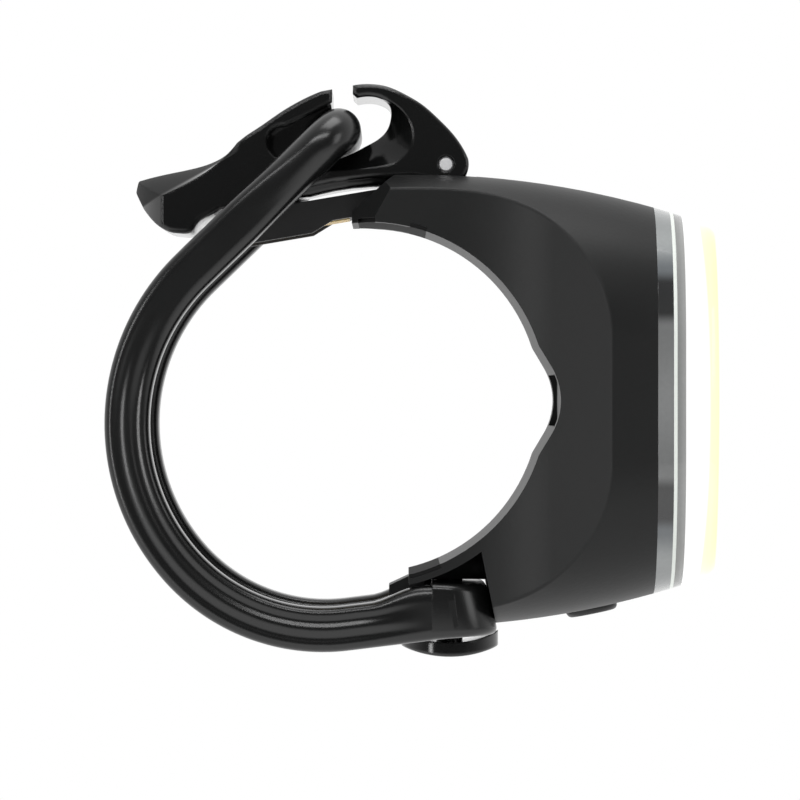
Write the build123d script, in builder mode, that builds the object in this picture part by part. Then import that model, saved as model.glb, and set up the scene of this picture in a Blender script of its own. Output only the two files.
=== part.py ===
from build123d import *
from math import acos, asin, atan, cos, degrees, radians, sin, sqrt, tan
import os

# Bike headlight held on a handlebar by a silicone strap and a cam lever.
# Millimetres. The origin is the centre of the handlebar that the saddle seats on.
# The handlebar lies along Y, +X is the beam and +Z is up. The object is symmetric about XZ.

os.makedirs("parts", exist_ok=True)

# Sizes shared by several pieces
bar_radius = 17.5
overrun = 6.0
sink = 1.5
fit_gap = 0.1
running_gap = 0.05
seat_gap = 0.3
tight_gap = 0.02

# Body shell: rounded squares that shrink along a crowned line towards the lens
roof_wall = 4.85
body_crown_radius = 88.5
body_crown_x = 4.5
body_corner_share = 0.68
body_rear_x = -3.5
body_station_shares = (0.0, 0.25, 0.5, 0.75, 1.0)
nose_length = 10.7

# Side scoops that narrow the body to the width of the arms
arm_half_width = 13.8
scoop_inset = 9.5
scoop_radius = 18.9
scoop_angle = 32.0
crease_fillet = 0.4

# Groove and label recess across the middle of the saddle
groove_depth = 1.3
groove_radius = 6.5
groove_flank_angle = 31.0
groove_mouth_inset = 2.0
groove_lip_fillet = 1.2
recess_depth = 0.36
recess_half_height = 2.55
recess_half_width = 13.0

# Upper arm and its slanted end
arm_tip_x = -1.6
arm_tip_wall = 1.1
arm_slope_angle = 41.2
arm_corner_x = 1.0
arm_corner_half_width = 9.2
arm_corner_lean = 60.6

# Lower lip, the wall behind the strap's pad and the boss between the strap's legs
lip_thickness = 1.0
lip_tip_x = 4.0
lip_wall_x = 11.1
wall_lean_angle = 11.5
boss_half_width = 3.7
boss_nose_x = 2.05
boss_nose_top_drop = 0.85
boss_nose_drop = 2.9
boss_step_x = 5.6
boss_bottom_drop = 0.25
boss_flare_x = 9.4
boss_flare_radius = 3.2

# Grip pads let into the saddle
pad_thickness = 0.4
pad_waist_half_width = 11.2
upper_pad_angles = (71.0, 93.2)
upper_pad_lobe_angle = 5.5
lower_pad_angles = (-76.7, -66.3)

# Lever pivot
pin_x = 7.68
pin_rise = 5.85
pin_radius = 0.75
pin_inset = 0.15
lug_radius = 1.95
lug_half_width = 3.3
lug_neck_half = 1.6
pivot_pocket_gap = 0.35
pivot_pocket_front = 3.05
deck_pocket_gap = 0.25

# Lever: its outline is set out from the pivot by shares of its reach and its rise
lever_half_width = 8.2
lever_reach = 30.9
lever_rise = 7.9
lever_heel_radius = 2.27
lever_fork_gap = 0.25
lever_fork_radius = 2.45
lever_edge_fillet = 0.4
lever_heel_angle = -140.0
tab_round_length = 2.85
tab_round_share = 0.55
crown_station_shares = (0.665, 0.72, 0.79, 0.87, 1.04)
crown_height_shares = (0.29, 0.11, 0.0, -0.07, -0.25)
crown_drop_shares = (0.01, 0.07, 0.16, 0.26, 0.38)
crown_reach_share = 1.1
flare_depth = 2.5

lever_top_shares = (
    (0.903, -0.099), (0.805, -0.009), (0.737, 0.088), (0.706, 0.152), (0.64, 0.354),
    (0.6, 0.456), (0.535, 0.633), (0.47, 0.785), (0.399, 0.911),
)
lever_hook_shares = (
    (0.285, 0.994), (0.233, 1.0), (0.192, 0.975), (0.125, 0.862), (0.077, 0.749),
    (0.026, 0.575), (-0.022, 0.381), (-0.051, 0.224), (-0.071, 0.07),
)
lever_under_shares = (
    (0.103, -0.158), (0.243, -0.175), (0.355, -0.222), (0.434, -0.285), (0.457, -0.348),
    (0.722, -0.568), (0.749, -0.633), (0.797, -0.76), (0.812, -0.848), (0.853, -0.867),
    (0.879, -0.854), (0.905, -0.81), (0.938, -0.706), (0.97, -0.551),
)
lever_end_shares = ((1.0, -0.329), (0.987, -0.176))
slot_roof_shares = ((0.381, 0.722), (0.454, 0.576), (0.514, 0.468))
slot_floor_shares = (
    (0.514, 0.468), (0.563, 0.36), (0.566, 0.2), (0.52, 0.05), (0.433, 0.0), (0.34, 0.08),
    (0.297, 0.146), (0.258, 0.228), (0.222, 0.305), (0.188, 0.437), (0.176, 0.589),
    (0.179, 0.724), (0.203, 0.805), (0.236, 0.841), (0.284, 0.824),
)
slot_mouth_shares = (0.364, 0.298)
flare_outer_shares = (
    (0.212, 0.82), (0.145, 0.69), (0.108, 0.45), (0.116, 0.18), (0.172, 0.0),
    (0.246, -0.051), (0.348, -0.087), (0.46, -0.06),
)
flare_inner_shares = (
    (0.212, 0.8), (0.186, 0.7), (0.178, 0.58), (0.192, 0.43), (0.226, 0.31),
    (0.262, 0.235), (0.342, 0.09), (0.46, 0.03),
)

# Strap
strap_thickness = 4.4
strap_width = 4.6
strap_leg_y = 12.3
strap_corner_radius = 1.5
strap_ring_gap = 1.28
strap_slack = 6.1
strap_drop = 5.76
strap_ring_end_angle = 247.0
strap_heel_radius = 10.0
strap_heel_angle = 5.0
strap_flute_depth = 0.3
strap_flute_radius = 0.7
strap_flute_shares = (0.06, -0.28)
strap_bar_radius = 2.2
strap_bar_reach_share = 0.3424
strap_bar_rise_share = 0.4114
strap_bend_radius = 2.9
strap_neck_length = 5.0
strap_pad_start_x = 6.0
strap_pad_drop = 0.7
strap_pad_height = 5.55
strap_pad_tip_rise = 1.45
strap_pad_side = 0.15
strap_pad_corner_radius = 4.6

# Stud that the strap buttons over
stud_x = 8.1
stud_radius = 1.3
stud_spigot_radius = 0.9
stud_spigot_length = 0.9
head_radius = 4.85
head_thickness = 1.4
head_bend_radius = 11.0
head_fillet = 0.25

# Charging tongue: a slab with two side rails and a channel of contacts under it
tongue_half_width = 6.0
tongue_thickness = 2.3
tongue_reach_share = 0.7405
tongue_drop_share = 0.3253
tongue_root_x = 3.0
tongue_rise = 3.28
tongue_tip_radius = 0.7
rail_height = 0.9
rail_width = 0.85
rail_root_gap = 2.3
rail_slant = 2.2
rail_corner_radius = 0.4
contact_width = 1.0
contact_pitch = 2.3
contact_count = 4
contact_thickness = 0.12
contact_tip_gap = 1.6
contact_root_gap = 0.65

# Lens stack in front of the parting plane
lens_frame_length = 1.55
lens_seal_thickness = 0.35
lens_cover_length = 4.5
lens_dome_radius = 400.0
lens_wall = 1.6
lens_front_wall = 1.5
lens_front_fillet = 1.7
lens_spigot_length = 1.3
lens_spigot_wall = 1.1

# Cavity and the parts inside it
rear_wall = 3.3
side_wall = 5.85
floor_wall = 5.25
cavity_corner_radius = 10.8
post_inset = 5.5
post_radius = 1.9
post_length = 4.8
board_thickness = 1.0
board_edge_gap = 0.5
screw_thread_radius = 0.7
screw_head_radius = 1.35
screw_head_height = 0.8
screw_depth = 3.6
screw_slot_width = 0.3
standoff_height = 1.0
standoff_radius = 1.6
spreader_thickness = 1.0
spreader_edge_gap = 1.5
battery_end_gap = 4.4
battery_center_z = 1.3
battery_thickness = 3.6
battery_corner_radius = 1.2
foam_thickness = 0.5
foam_edge = 1.2
lead_radius = 0.4
lead_spacing = 3.0
lead_rise = 1.1
lead_bend = 0.9
thermal_pad_thickness = 0.3
thermal_pad_edge = 0.8
led_board_gap = 0.25
led_board_corner = 1.5
led_board_thickness = 1.0
led_size = 2.4
led_height = 0.6
led_pitch_share = 0.5532
led_count = 3
reflector_gap = 1.44
reflector_rim = 0.6
reflector_depth = 1.25
reflector_wall = 0.6
reflector_corner_share = 0.6
optic_thickness = 1.6
optic_gap = 0.25

# Power button in the underside and its switch
button_inset = 6.0
button_length = 5.1
button_width = 10.8
button_proud = 0.62
button_edge_fillet = 0.5
button_wall = 1.4
button_flange = 0.5
button_flange_thickness = 0.6
button_stem_radius = 1.1
button_stem_offset = 1.2
button_gap = 0.08
button_travel = 0.35
button_stem_length = 1.6
bay_gap = 0.3
bay_depth = 5.0
seal_thickness = 0.4
switch_width = 4.2
switch_length = 4.5
switch_height = 2.0
switch_gap = 0.33
plunger_radius = 0.8
plunger_length = 1.4

# Flexible circuit from the tongue to the main board
flex_half_width = 3.6
flex_thickness = 0.2
flex_channel_height = 0.8
flex_channel_gap = 0.5
flex_rise = 1.7
flex_drop_gap = 0.8
flex_end_gap = 0.7
flex_bend = 0.8
plug_depth = 1.2
plug_height = 1.4


def section_half(x):
    """Half the height and width of the body at a station along the beam."""
    return body_half - body_crown_radius + sqrt(body_crown_radius**2 - (x - body_crown_x) ** 2)


def body_section(x, inset):
    """Rounded square of the body at station x, drawn inset from its skin."""
    half = section_half(x) - inset
    RectangleRounded(2 * half, 2 * half, body_corner_share * section_half(x) - inset)


def cavity_section(inset):
    """Rounded rectangle of the cavity, drawn inset from its wall."""
    RectangleRounded(
        2 * (cavity_half_width - inset),
        2 * (cavity_half_height - inset),
        cavity_corner_radius - inset,
    )


def on_circle(radius, angle, center_x=0.0, center_z=0.0):
    """Point on a circle in the side view, as an (x, z) pair."""
    return (center_x + radius * cos(radians(angle)), center_z + radius * sin(radians(angle)))


def ring_sector(inner, outer, angles):
    """Side view of a band between two radii about the handlebar."""
    start, end = angles
    middle = (start + end) / 2
    with BuildSketch() as band:
        with BuildLine():
            ThreePointArc(on_circle(inner, start), on_circle(inner, middle), on_circle(inner, end))
            Line(on_circle(inner, end), on_circle(outer, end))
            ThreePointArc(on_circle(outer, end), on_circle(outer, middle), on_circle(outer, start))
            Line(on_circle(outer, start), on_circle(inner, start))
        make_face()
    return band.sketch


def from_pin(shares):
    """Points of the lever's outline from their shares of its reach and its rise."""
    return [(pin_x - reach * lever_reach, pin_z + rise * lever_rise) for reach, rise in shares]


def finish(piece, name):
    """Label a finished piece and write it as its own file."""
    piece.part.label = name
    export_step(piece.part, f"parts/{name}.step")


# Places of the body worked out from the sizes above
body_half = bar_radius + roof_wall
parting_x = bar_radius + nose_length
reach_out = body_half + overrun
scoop_start_x = bar_radius - scoop_inset
scoop_end_x = scoop_start_x + scoop_radius * sin(radians(scoop_angle))
scoop_end_y = arm_half_width + scoop_radius * (1 - cos(radians(scoop_angle)))
scoop_out_x = scoop_end_x + body_half * cos(radians(scoop_angle))
scoop_out_y = scoop_end_y + body_half * sin(radians(scoop_angle))
groove_bottom_x = bar_radius + groove_depth
groove_mouth_x = bar_radius - groove_mouth_inset
groove_center_x = groove_bottom_x - groove_radius
groove_tangent_x, groove_tangent_z = on_circle(groove_radius, groove_flank_angle, groove_center_x)
groove_mouth_z = groove_tangent_z + (groove_tangent_x - groove_mouth_x) / tan(radians(groove_flank_angle))
lip_radius = bar_radius + lip_thickness
pad_radius = bar_radius + pad_thickness
arm_tip_z = bar_radius + arm_tip_wall
boss_nose_top_z = -(bar_radius + boss_nose_top_drop)
boss_nose_z = -(bar_radius + boss_nose_drop)
boss_bottom_z = -(bar_radius + boss_bottom_drop)
pin_z = bar_radius + pin_rise
deck_pocket_z = pin_z + lever_under_shares[1][1] * lever_rise - deck_pocket_gap
pocket_radius = lever_heel_radius + pivot_pocket_gap
pocket_half_width = lever_half_width + deck_pocket_gap

# Places of the strap and the tongue
strap_ring_radius = bar_radius + strap_ring_gap + strap_thickness / 2
strap_ring_x = strap_ring_radius - bar_radius - strap_slack
strap_ring_z = strap_ring_radius - bar_radius - strap_drop
strap_bar_x = pin_x - strap_bar_reach_share * lever_reach
strap_bar_z = pin_z + strap_bar_rise_share * lever_rise
strap_pad_top_z = -(bar_radius + strap_pad_drop)
strap_pad_bottom_z = strap_pad_top_z - strap_pad_height
strap_pad_tip_z = strap_pad_bottom_z + strap_pad_tip_rise
head_top_z = strap_pad_bottom_z - seat_gap
tongue_top_z = bar_radius + tongue_rise
tongue_tip_x = pin_x - tongue_reach_share * lever_reach
tongue_angle = degrees(atan(tongue_drop_share * lever_rise / -tongue_tip_x))
rail_end_x = arm_tip_x - rail_root_gap
contact_root_x = arm_tip_x - contact_root_gap

# Places of what is inside
cavity_rear_x = bar_radius + rear_wall
cavity_half_width = body_half - side_wall
cavity_half_height = body_half - floor_wall
post_center = cavity_half_width - post_inset
post_pitch = 2 * post_center
post_end_x = cavity_rear_x + post_length
main_board_x = post_end_x
spreader_x = main_board_x + board_thickness + standoff_height
led_board_x = spreader_x + spreader_thickness + thermal_pad_thickness
led_x = led_board_x + led_board_thickness
led_board_half = post_center - screw_head_radius - led_board_gap
led_pitch = led_pitch_share * led_board_half
reflector_end_x = led_x + reflector_depth
reflector_inner_half = led_board_half - reflector_rim
lens_frame_end_x = parting_x + lens_frame_length
lens_seal_end_x = lens_frame_end_x + lens_seal_thickness
lens_front_x = lens_seal_end_x + lens_cover_length
battery_x = cavity_rear_x + foam_thickness
battery_half_width = post_center - post_radius - seat_gap
battery_height = 2 * (cavity_half_height - battery_end_gap)
flex_z = bar_radius + flex_rise
flex_drop_x = cavity_rear_x + flex_drop_gap
flex_end_z = cavity_half_height - flex_end_gap
button_x = parting_x - button_inset
tongue_length = (tongue_root_x - tongue_tip_x) / cos(radians(tongue_angle))
tongue_middle = (tongue_root_x + tongue_tip_x) / 2 / cos(radians(tongue_angle))
rail_y = tongue_half_width - rail_width / 2
flex_start_x = tongue_root_x + tongue_thickness * sin(radians(tongue_angle)) + tight_gap
flange_low = button_wall + running_gap
seal_depth = flange_low + button_flange_thickness + button_travel + fit_gap
button_lean = degrees(asin((button_x - body_crown_x) / body_crown_radius))
bay_grow = 2 * (button_flange + bay_gap)
seal_top_z = (seal_depth + seal_thickness) / cos(radians(button_lean)) - section_half(button_x)
switch_low_z = seal_top_z + (button_length + bay_grow) / 2 * tan(radians(button_lean)) + switch_gap

# Frame of the button: z_dir points out of the underside and x_dir along the handlebar
button_plane = Plane(
    origin=(button_x, 0, -section_half(button_x)),
    x_dir=(0, 1, 0),
    z_dir=(sin(radians(button_lean)), 0, -cos(radians(button_lean))),
)

button_axis = Axis(
    (button_plane.origin.X, button_plane.origin.Y, button_plane.origin.Z), button_plane.z_dir
)

# Frame of the tongue: the top face of its slab, with x_dir from the tip to the root
tongue_plane = Plane(
    origin=(0, 0, tongue_top_z),
    x_dir=(cos(radians(tongue_angle)), 0, sin(radians(tongue_angle))),
    z_dir=(-sin(radians(tongue_angle)), 0, cos(radians(tongue_angle))),
)


# Housing
with BuildPart() as housing:
    for share in body_station_shares:
        station = body_rear_x + share * (parting_x - body_rear_x)
        with BuildSketch(Plane.YZ.offset(station)):
            body_section(station, 0)
    loft()

    # Handlebar saddle with the groove across it, rounded where the two meet
    with BuildSketch(Plane.XZ) as saddle_side:
        Circle(bar_radius)
        with BuildLine():
            Line((groove_mouth_x, -groove_mouth_z), (groove_tangent_x, -groove_tangent_z))
            ThreePointArc(
                (groove_tangent_x, -groove_tangent_z),
                (groove_bottom_x, 0),
                (groove_tangent_x, groove_tangent_z),
            )
            Line((groove_tangent_x, groove_tangent_z), (groove_mouth_x, groove_mouth_z))
            Line((groove_mouth_x, groove_mouth_z), (groove_mouth_x, -groove_mouth_z))
        make_face()
        lips = [
            vertex
            for vertex in saddle_side.vertices()
            if groove_mouth_x < vertex.X < groove_tangent_x - tight_gap
        ]
        fillet(lips, groove_lip_fillet)
    extrude(amount=reach_out, both=True, mode=Mode.SUBTRACT)

    # Side scoops
    with BuildSketch(Plane.XY):
        with BuildLine():
            Line((-reach_out, arm_half_width), (scoop_start_x, arm_half_width))
            RadiusArc((scoop_start_x, arm_half_width), (scoop_end_x, scoop_end_y), -scoop_radius)
            Line((scoop_end_x, scoop_end_y), (scoop_out_x, scoop_out_y))
            Line((scoop_out_x, scoop_out_y), (-reach_out, scoop_out_y))
            Line((-reach_out, scoop_out_y), (-reach_out, arm_half_width))
        make_face()
        mirror(about=Plane.XZ)
    extrude(amount=reach_out, both=True, mode=Mode.SUBTRACT)

    # Soft creases where the scoops leave the body
    creases = [
        edge
        for edge in housing.edges()
        if abs((edge @ 0.5).Y) > arm_half_width - tight_gap
        and sqrt((edge @ 0.5).X ** 2 + (edge @ 0.5).Z ** 2) > bar_radius + lens_wall
        and body_rear_x < (edge @ 0.5).X < parting_x - tight_gap
    ]
    fillet(creases, crease_fillet)

    # Slanted end of the upper arm
    with BuildSketch(Plane.XZ):
        with BuildLine():
            Polyline(
                (arm_tip_x, 0),
                (arm_tip_x, arm_tip_z),
                (
                    arm_tip_x + reach_out * cos(radians(arm_slope_angle)),
                    arm_tip_z + reach_out * sin(radians(arm_slope_angle)),
                ),
                (-reach_out, arm_tip_z + reach_out),
                (-reach_out, 0),
                close=True,
            )
        make_face()
    extrude(amount=reach_out, both=True, mode=Mode.SUBTRACT)

    # Chamfered plan corners of the upper arm, leaning forwards as they rise
    with BuildSketch(Plane.XY.offset(arm_tip_z)):
        with BuildLine():
            Polyline(
                (arm_corner_x, arm_half_width),
                (arm_tip_x, arm_corner_half_width),
                (arm_tip_x - overrun, arm_corner_half_width),
                (arm_tip_x - overrun, reach_out),
                (arm_corner_x + overrun, reach_out),
                (arm_corner_x + overrun, arm_half_width + overrun),
                close=True,
            )
        make_face()
        mirror(about=Plane.XZ)
    extrude(
        amount=overrun,
        both=True,
        dir=(cos(radians(arm_corner_lean)), 0, sin(radians(arm_corner_lean))),
        mode=Mode.SUBTRACT,
    )

    # Space under the lower lip, back to the leaning wall
    with BuildSketch(Plane.XZ):
        with BuildLine():
            lip_top = on_circle(lip_radius, -degrees(acos(lip_wall_x / lip_radius)))
            lip_tip = on_circle(lip_radius, -degrees(acos(lip_tip_x / lip_radius)))
            lip_middle_x = (lip_wall_x + lip_tip_x) / 2
            ThreePointArc(lip_top, (lip_middle_x, -sqrt(lip_radius**2 - lip_middle_x**2)), lip_tip)
            Polyline(
                lip_tip,
                (lip_tip_x, 0),
                (-reach_out, 0),
                (-reach_out, -reach_out),
                (lip_wall_x + (reach_out + lip_top[1]) * tan(radians(wall_lean_angle)), -reach_out),
                lip_top,
            )
        make_face()
    extrude(amount=reach_out, both=True, mode=Mode.SUBTRACT)

    # Boss between the strap's legs
    with BuildSketch(Plane.XZ):
        with BuildLine():
            Polyline(
                (lip_tip_x, -sqrt(pad_radius**2 - lip_tip_x**2)),
                (boss_nose_x, boss_nose_top_z),
                (boss_nose_x, boss_nose_z),
                (boss_step_x, boss_nose_z),
                (boss_step_x, boss_bottom_z),
                (lip_wall_x + sink, boss_bottom_z),
                (lip_wall_x + sink, lip_top[1]),
                (boss_step_x, -sqrt(pad_radius**2 - boss_step_x**2)),
                close=True,
            )
        make_face()
    extrude(amount=boss_half_width, both=True)

    # Concave flares of the boss into the wall
    with BuildSketch(Plane.XY.offset(boss_bottom_z)):
        with BuildLine():
            flare_end = (boss_flare_x + boss_flare_radius, boss_half_width + boss_flare_radius)
            Line((boss_flare_x, 0), (boss_flare_x, boss_half_width))
            TangentArc((boss_flare_x, boss_half_width), flare_end, tangent=(1, 0))
            Line(flare_end, (flare_end[0], 0))
            Line((flare_end[0], 0), (boss_flare_x, 0))
        make_face()
        mirror(about=Plane.XZ)
    extrude(amount=lip_top[1] - boss_bottom_z)

    # Recesses of the grip pads, open at the arm's sides where the pads reach full width
    with BuildSketch(Plane.XZ):
        add(ring_sector(bar_radius - sink, pad_radius, upper_pad_angles))
        add(ring_sector(bar_radius - sink, pad_radius, lower_pad_angles))
    extrude(amount=pad_waist_half_width, both=True, mode=Mode.SUBTRACT)
    with BuildSketch(Plane.XZ):
        start, end = upper_pad_angles
        add(ring_sector(bar_radius - sink, pad_radius, (start, start + upper_pad_lobe_angle)))
        add(ring_sector(bar_radius - sink, pad_radius, (end - upper_pad_lobe_angle, end)))
        add(ring_sector(bar_radius - sink, pad_radius, lower_pad_angles))
    extrude(amount=reach_out, both=True, mode=Mode.SUBTRACT)

    # Label recess in the groove
    with BuildSketch(Plane.YZ.offset(groove_bottom_x + recess_depth)):
        Rectangle(2 * recess_half_width, 2 * recess_half_height)
    extrude(amount=-overrun, mode=Mode.SUBTRACT)

    # Pocket of the lever in the deck, with its round pit at the pivot
    with BuildSketch(Plane.XZ):
        with BuildLine():
            Polyline(
                (-reach_out, deck_pocket_z),
                (pin_x, deck_pocket_z),
                (pin_x + pivot_pocket_front, deck_pocket_z),
                (pin_x + pivot_pocket_front, reach_out),
                (-reach_out, reach_out),
                close=True,
            )
        make_face()
        with Locations((pin_x, pin_z)):
            Circle(pocket_radius)
    extrude(amount=pocket_half_width, both=True, mode=Mode.SUBTRACT)

    # Lug of the pivot
    with BuildSketch(Plane.XZ):
        with Locations((pin_x, pin_z)):
            Circle(lug_radius)
        with Locations((pin_x, pin_z - pocket_radius / 2)):
            Rectangle(2 * lug_neck_half, pocket_radius + sink)
    extrude(amount=lug_half_width, both=True)
    with BuildSketch(Plane.XZ):
        with Locations((pin_x, pin_z)):
            Circle(pin_radius + running_gap)
    extrude(amount=lever_half_width, both=True, mode=Mode.SUBTRACT)

    # Slot for the root of the charging tongue
    with BuildSketch(tongue_plane.offset(tight_gap)):
        with Locations((tongue_middle, 0)):
            Rectangle(tongue_length + 2 * tight_gap, 2 * (tongue_half_width + tight_gap))
    extrude(amount=-(tongue_thickness + 2 * tight_gap), mode=Mode.SUBTRACT)

    # Channel of the flexible circuit, along the arm and down into the cavity
    channel_half_width = flex_half_width + flex_channel_gap
    with BuildSketch(Plane.YZ.offset(tongue_root_x - sink)):
        with Locations((0, flex_z)):
            Rectangle(2 * channel_half_width, flex_channel_height)
    extrude(amount=flex_drop_x - tongue_root_x + sink, mode=Mode.SUBTRACT)
    with BuildSketch(Plane.XY.offset(flex_z + flex_channel_height / 2)):
        with Locations((flex_drop_x + flex_bend, 0)):
            Rectangle(2 * (flex_channel_height + flex_bend), 2 * channel_half_width)
    extrude(amount=flex_end_z - plug_height / 2 - flex_z - flex_channel_height / 2, mode=Mode.SUBTRACT)

    # Cavity
    with BuildSketch(Plane.YZ.offset(cavity_rear_x)):
        cavity_section(0)
    extrude(amount=parting_x - cavity_rear_x + overrun, mode=Mode.SUBTRACT)

    # Screw posts of the boards
    with BuildSketch(Plane.YZ.offset(cavity_rear_x)):
        with GridLocations(post_pitch, post_pitch, 2, 2):
            Circle(post_radius)
    extrude(amount=post_end_x - cavity_rear_x)
    with BuildSketch(Plane.YZ.offset(post_end_x)):
        with GridLocations(post_pitch, post_pitch, 2, 2):
            Circle(screw_thread_radius + tight_gap)
    extrude(amount=-screw_depth, mode=Mode.SUBTRACT)

    # Hole of the power button and the bay behind it
    with BuildSketch(button_plane.offset(overrun)):
        SlotOverall(button_width + 2 * button_gap, button_length + 2 * button_gap)
    extrude(amount=-(overrun + button_wall + sink), mode=Mode.SUBTRACT)
    with BuildSketch(button_plane.offset(-button_wall)):
        SlotOverall(button_width + bay_grow, button_length + bay_grow)
    extrude(amount=-bay_depth, mode=Mode.SUBTRACT)

    # Hole for the stud's spigot
    with BuildSketch(Plane.XY.offset(boss_bottom_z)):
        with Locations((stud_x, 0)):
            Circle(stud_spigot_radius + tight_gap)
    extrude(amount=stud_spigot_length + tight_gap, mode=Mode.SUBTRACT)

finish(housing, "housing")
print("housing", round(housing.part.volume), len(housing.part.solids()))


# Rubber grip pads, flush with the saddle
with BuildPart() as upper_grip_pad:
    with BuildSketch(Plane.XZ):
        add(ring_sector(bar_radius, pad_radius - tight_gap, upper_pad_angles))
    extrude(amount=pad_waist_half_width - tight_gap, both=True)
    with BuildSketch(Plane.XZ):
        start, end = upper_pad_angles
        add(ring_sector(bar_radius, pad_radius - tight_gap, (start, start + upper_pad_lobe_angle)))
        add(ring_sector(bar_radius, pad_radius - tight_gap, (end - upper_pad_lobe_angle, end)))
    extrude(amount=arm_half_width, both=True)
    with BuildSketch(Plane.XY.offset(bar_radius)):
        with BuildLine():
            Polyline(
                (arm_corner_x, arm_half_width),
                (arm_tip_x, arm_corner_half_width),
                (arm_tip_x - overrun, arm_corner_half_width),
                (arm_tip_x - overrun, arm_half_width + overrun),
                (arm_corner_x, arm_half_width + overrun),
                close=True,
            )
        make_face()
        mirror(about=Plane.XZ)
    extrude(amount=overrun, both=True, mode=Mode.SUBTRACT)
finish(upper_grip_pad, "upper_grip_pad")

with BuildPart() as lower_grip_pad:
    with BuildSketch(Plane.XZ):
        add(ring_sector(bar_radius, pad_radius - tight_gap, lower_pad_angles))
    extrude(amount=arm_half_width, both=True)
finish(lower_grip_pad, "lower_grip_pad")


# Lever: a cam with a hooked slot for the strap's bar and a long crowned tab
with BuildPart() as lever:
    with BuildSketch(Plane.XZ):
        with BuildLine():
            top = Spline(*from_pin(lever_top_shares))
            bridge = Line(top @ 1, from_pin(lever_hook_shares)[0])
            hook = Spline(*from_pin(lever_hook_shares))
            heel = ThreePointArc(
                hook @ 1,
                (pin_x, pin_z - lever_heel_radius),
                on_circle(lever_heel_radius, lever_heel_angle, pin_x, pin_z),
            )
            under = Polyline(heel @ 1, *from_pin(lever_under_shares[:6]))
            tail = Spline(under @ 1, *from_pin(lever_under_shares[6:]))
            Polyline(tail @ 1, *from_pin(lever_end_shares), top @ 0)
        make_face()
    extrude(amount=lever_half_width, both=True)

    # Rounded end of the tab in plan
    with BuildSketch(Plane.XY.offset(pin_z)):
        with BuildLine():
            tab_end_x = pin_x - lever_reach
            tab_round_x = tab_end_x + tab_round_length
            half_y = tab_round_share * lever_half_width
            ThreePointArc(
                (tab_round_x, lever_half_width),
                (tab_end_x + tab_round_length * tab_round_share**2, half_y),
                (tab_end_x, 0),
            )
            ThreePointArc(
                (tab_end_x, 0),
                (tab_end_x + tab_round_length * tab_round_share**2, -half_y),
                (tab_round_x, -lever_half_width),
            )
            Polyline(
                (tab_round_x, -lever_half_width),
                (tab_round_x, -lever_half_width - overrun),
                (tab_end_x - overrun, -lever_half_width - overrun),
                (tab_end_x - overrun, lever_half_width + overrun),
                (tab_round_x, lever_half_width + overrun),
                (tab_round_x, lever_half_width),
            )
        make_face()
    extrude(amount=reach_out, both=True, mode=Mode.SUBTRACT)

    # Hooked slot with its open mouth
    finger_x, hook_x = (pin_x - share * lever_reach for share in slot_mouth_shares)
    with BuildSketch(Plane.XZ):
        with BuildLine():
            floor = Spline(*from_pin(slot_floor_shares))
            hook_foot = (hook_x, (floor @ 1).Y + lever_edge_fillet)
            Polyline(floor @ 1, hook_foot, (hook_x, reach_out + overrun))
            roof = Polyline(*from_pin(slot_roof_shares))
            finger_foot = (finger_x, (roof @ 0).Y + lever_edge_fillet)
            Polyline(roof @ 0, finger_foot, (finger_x, reach_out + overrun))
            Line((finger_x, reach_out + overrun), (hook_x, reach_out + overrun))
        make_face()
    extrude(amount=lever_half_width + overrun, both=True, mode=Mode.SUBTRACT)

    fillet(lever.faces().filter_by(Axis.Y).edges(), lever_edge_fillet)

    # Fork slot over the housing's lug
    with BuildSketch(Plane.XZ):
        with Locations((pin_x, pin_z)):
            Circle(lever_fork_radius)
    extrude(amount=lug_half_width + lever_fork_gap, both=True, mode=Mode.SUBTRACT)

    # Bore of the pin
    with BuildSketch(Plane.XZ):
        with Locations((pin_x, pin_z)):
            Circle(pin_radius + tight_gap)
    extrude(amount=lever_half_width + overrun, both=True, mode=Mode.SUBTRACT)

    # Crown of the tab
    for station, height, drop in zip(crown_station_shares, crown_height_shares, crown_drop_shares):
        crown_z = pin_z + height * lever_rise
        crown_y = crown_reach_share * lever_half_width
        edge_z = crown_z - drop * lever_rise * crown_reach_share**2
        with BuildSketch(Plane.YZ.offset(pin_x - station * lever_reach)):
            with BuildLine():
                ThreePointArc((-crown_y, edge_z), (0, crown_z), (crown_y, edge_z))
                Polyline(
                    (crown_y, edge_z),
                    (crown_y, pin_z + lever_rise),
                    (-crown_y, pin_z + lever_rise),
                    (-crown_y, edge_z),
                )
            make_face()
    loft(mode=Mode.SUBTRACT)

    # Bell mouths of the slot at both sides
    for side in (-1, 1):
        for depth, shares in ((0, flare_outer_shares), (flare_depth, flare_inner_shares)):
            with BuildSketch(Plane.XZ.offset(side * (lever_half_width + tight_gap - depth))):
                with BuildLine():
                    mouth = Spline(*from_pin(shares))
                    Line(mouth @ 1, mouth @ 0)
                make_face()
        loft(ruled=True, mode=Mode.SUBTRACT)
finish(lever, "lever")
print("lever", round(lever.part.volume), len(lever.part.solids()))

# Pivot pin of the lever
with BuildPart() as lever_pin:
    with BuildSketch(Plane.XZ):
        with Locations((pin_x, pin_z)):
            Circle(pin_radius)
    extrude(amount=lever_half_width - pin_inset, both=True)
    chamfer(lever_pin.edges().filter_by(GeomType.CIRCLE), pin_inset)
finish(lever_pin, "lever_pin")


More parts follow.
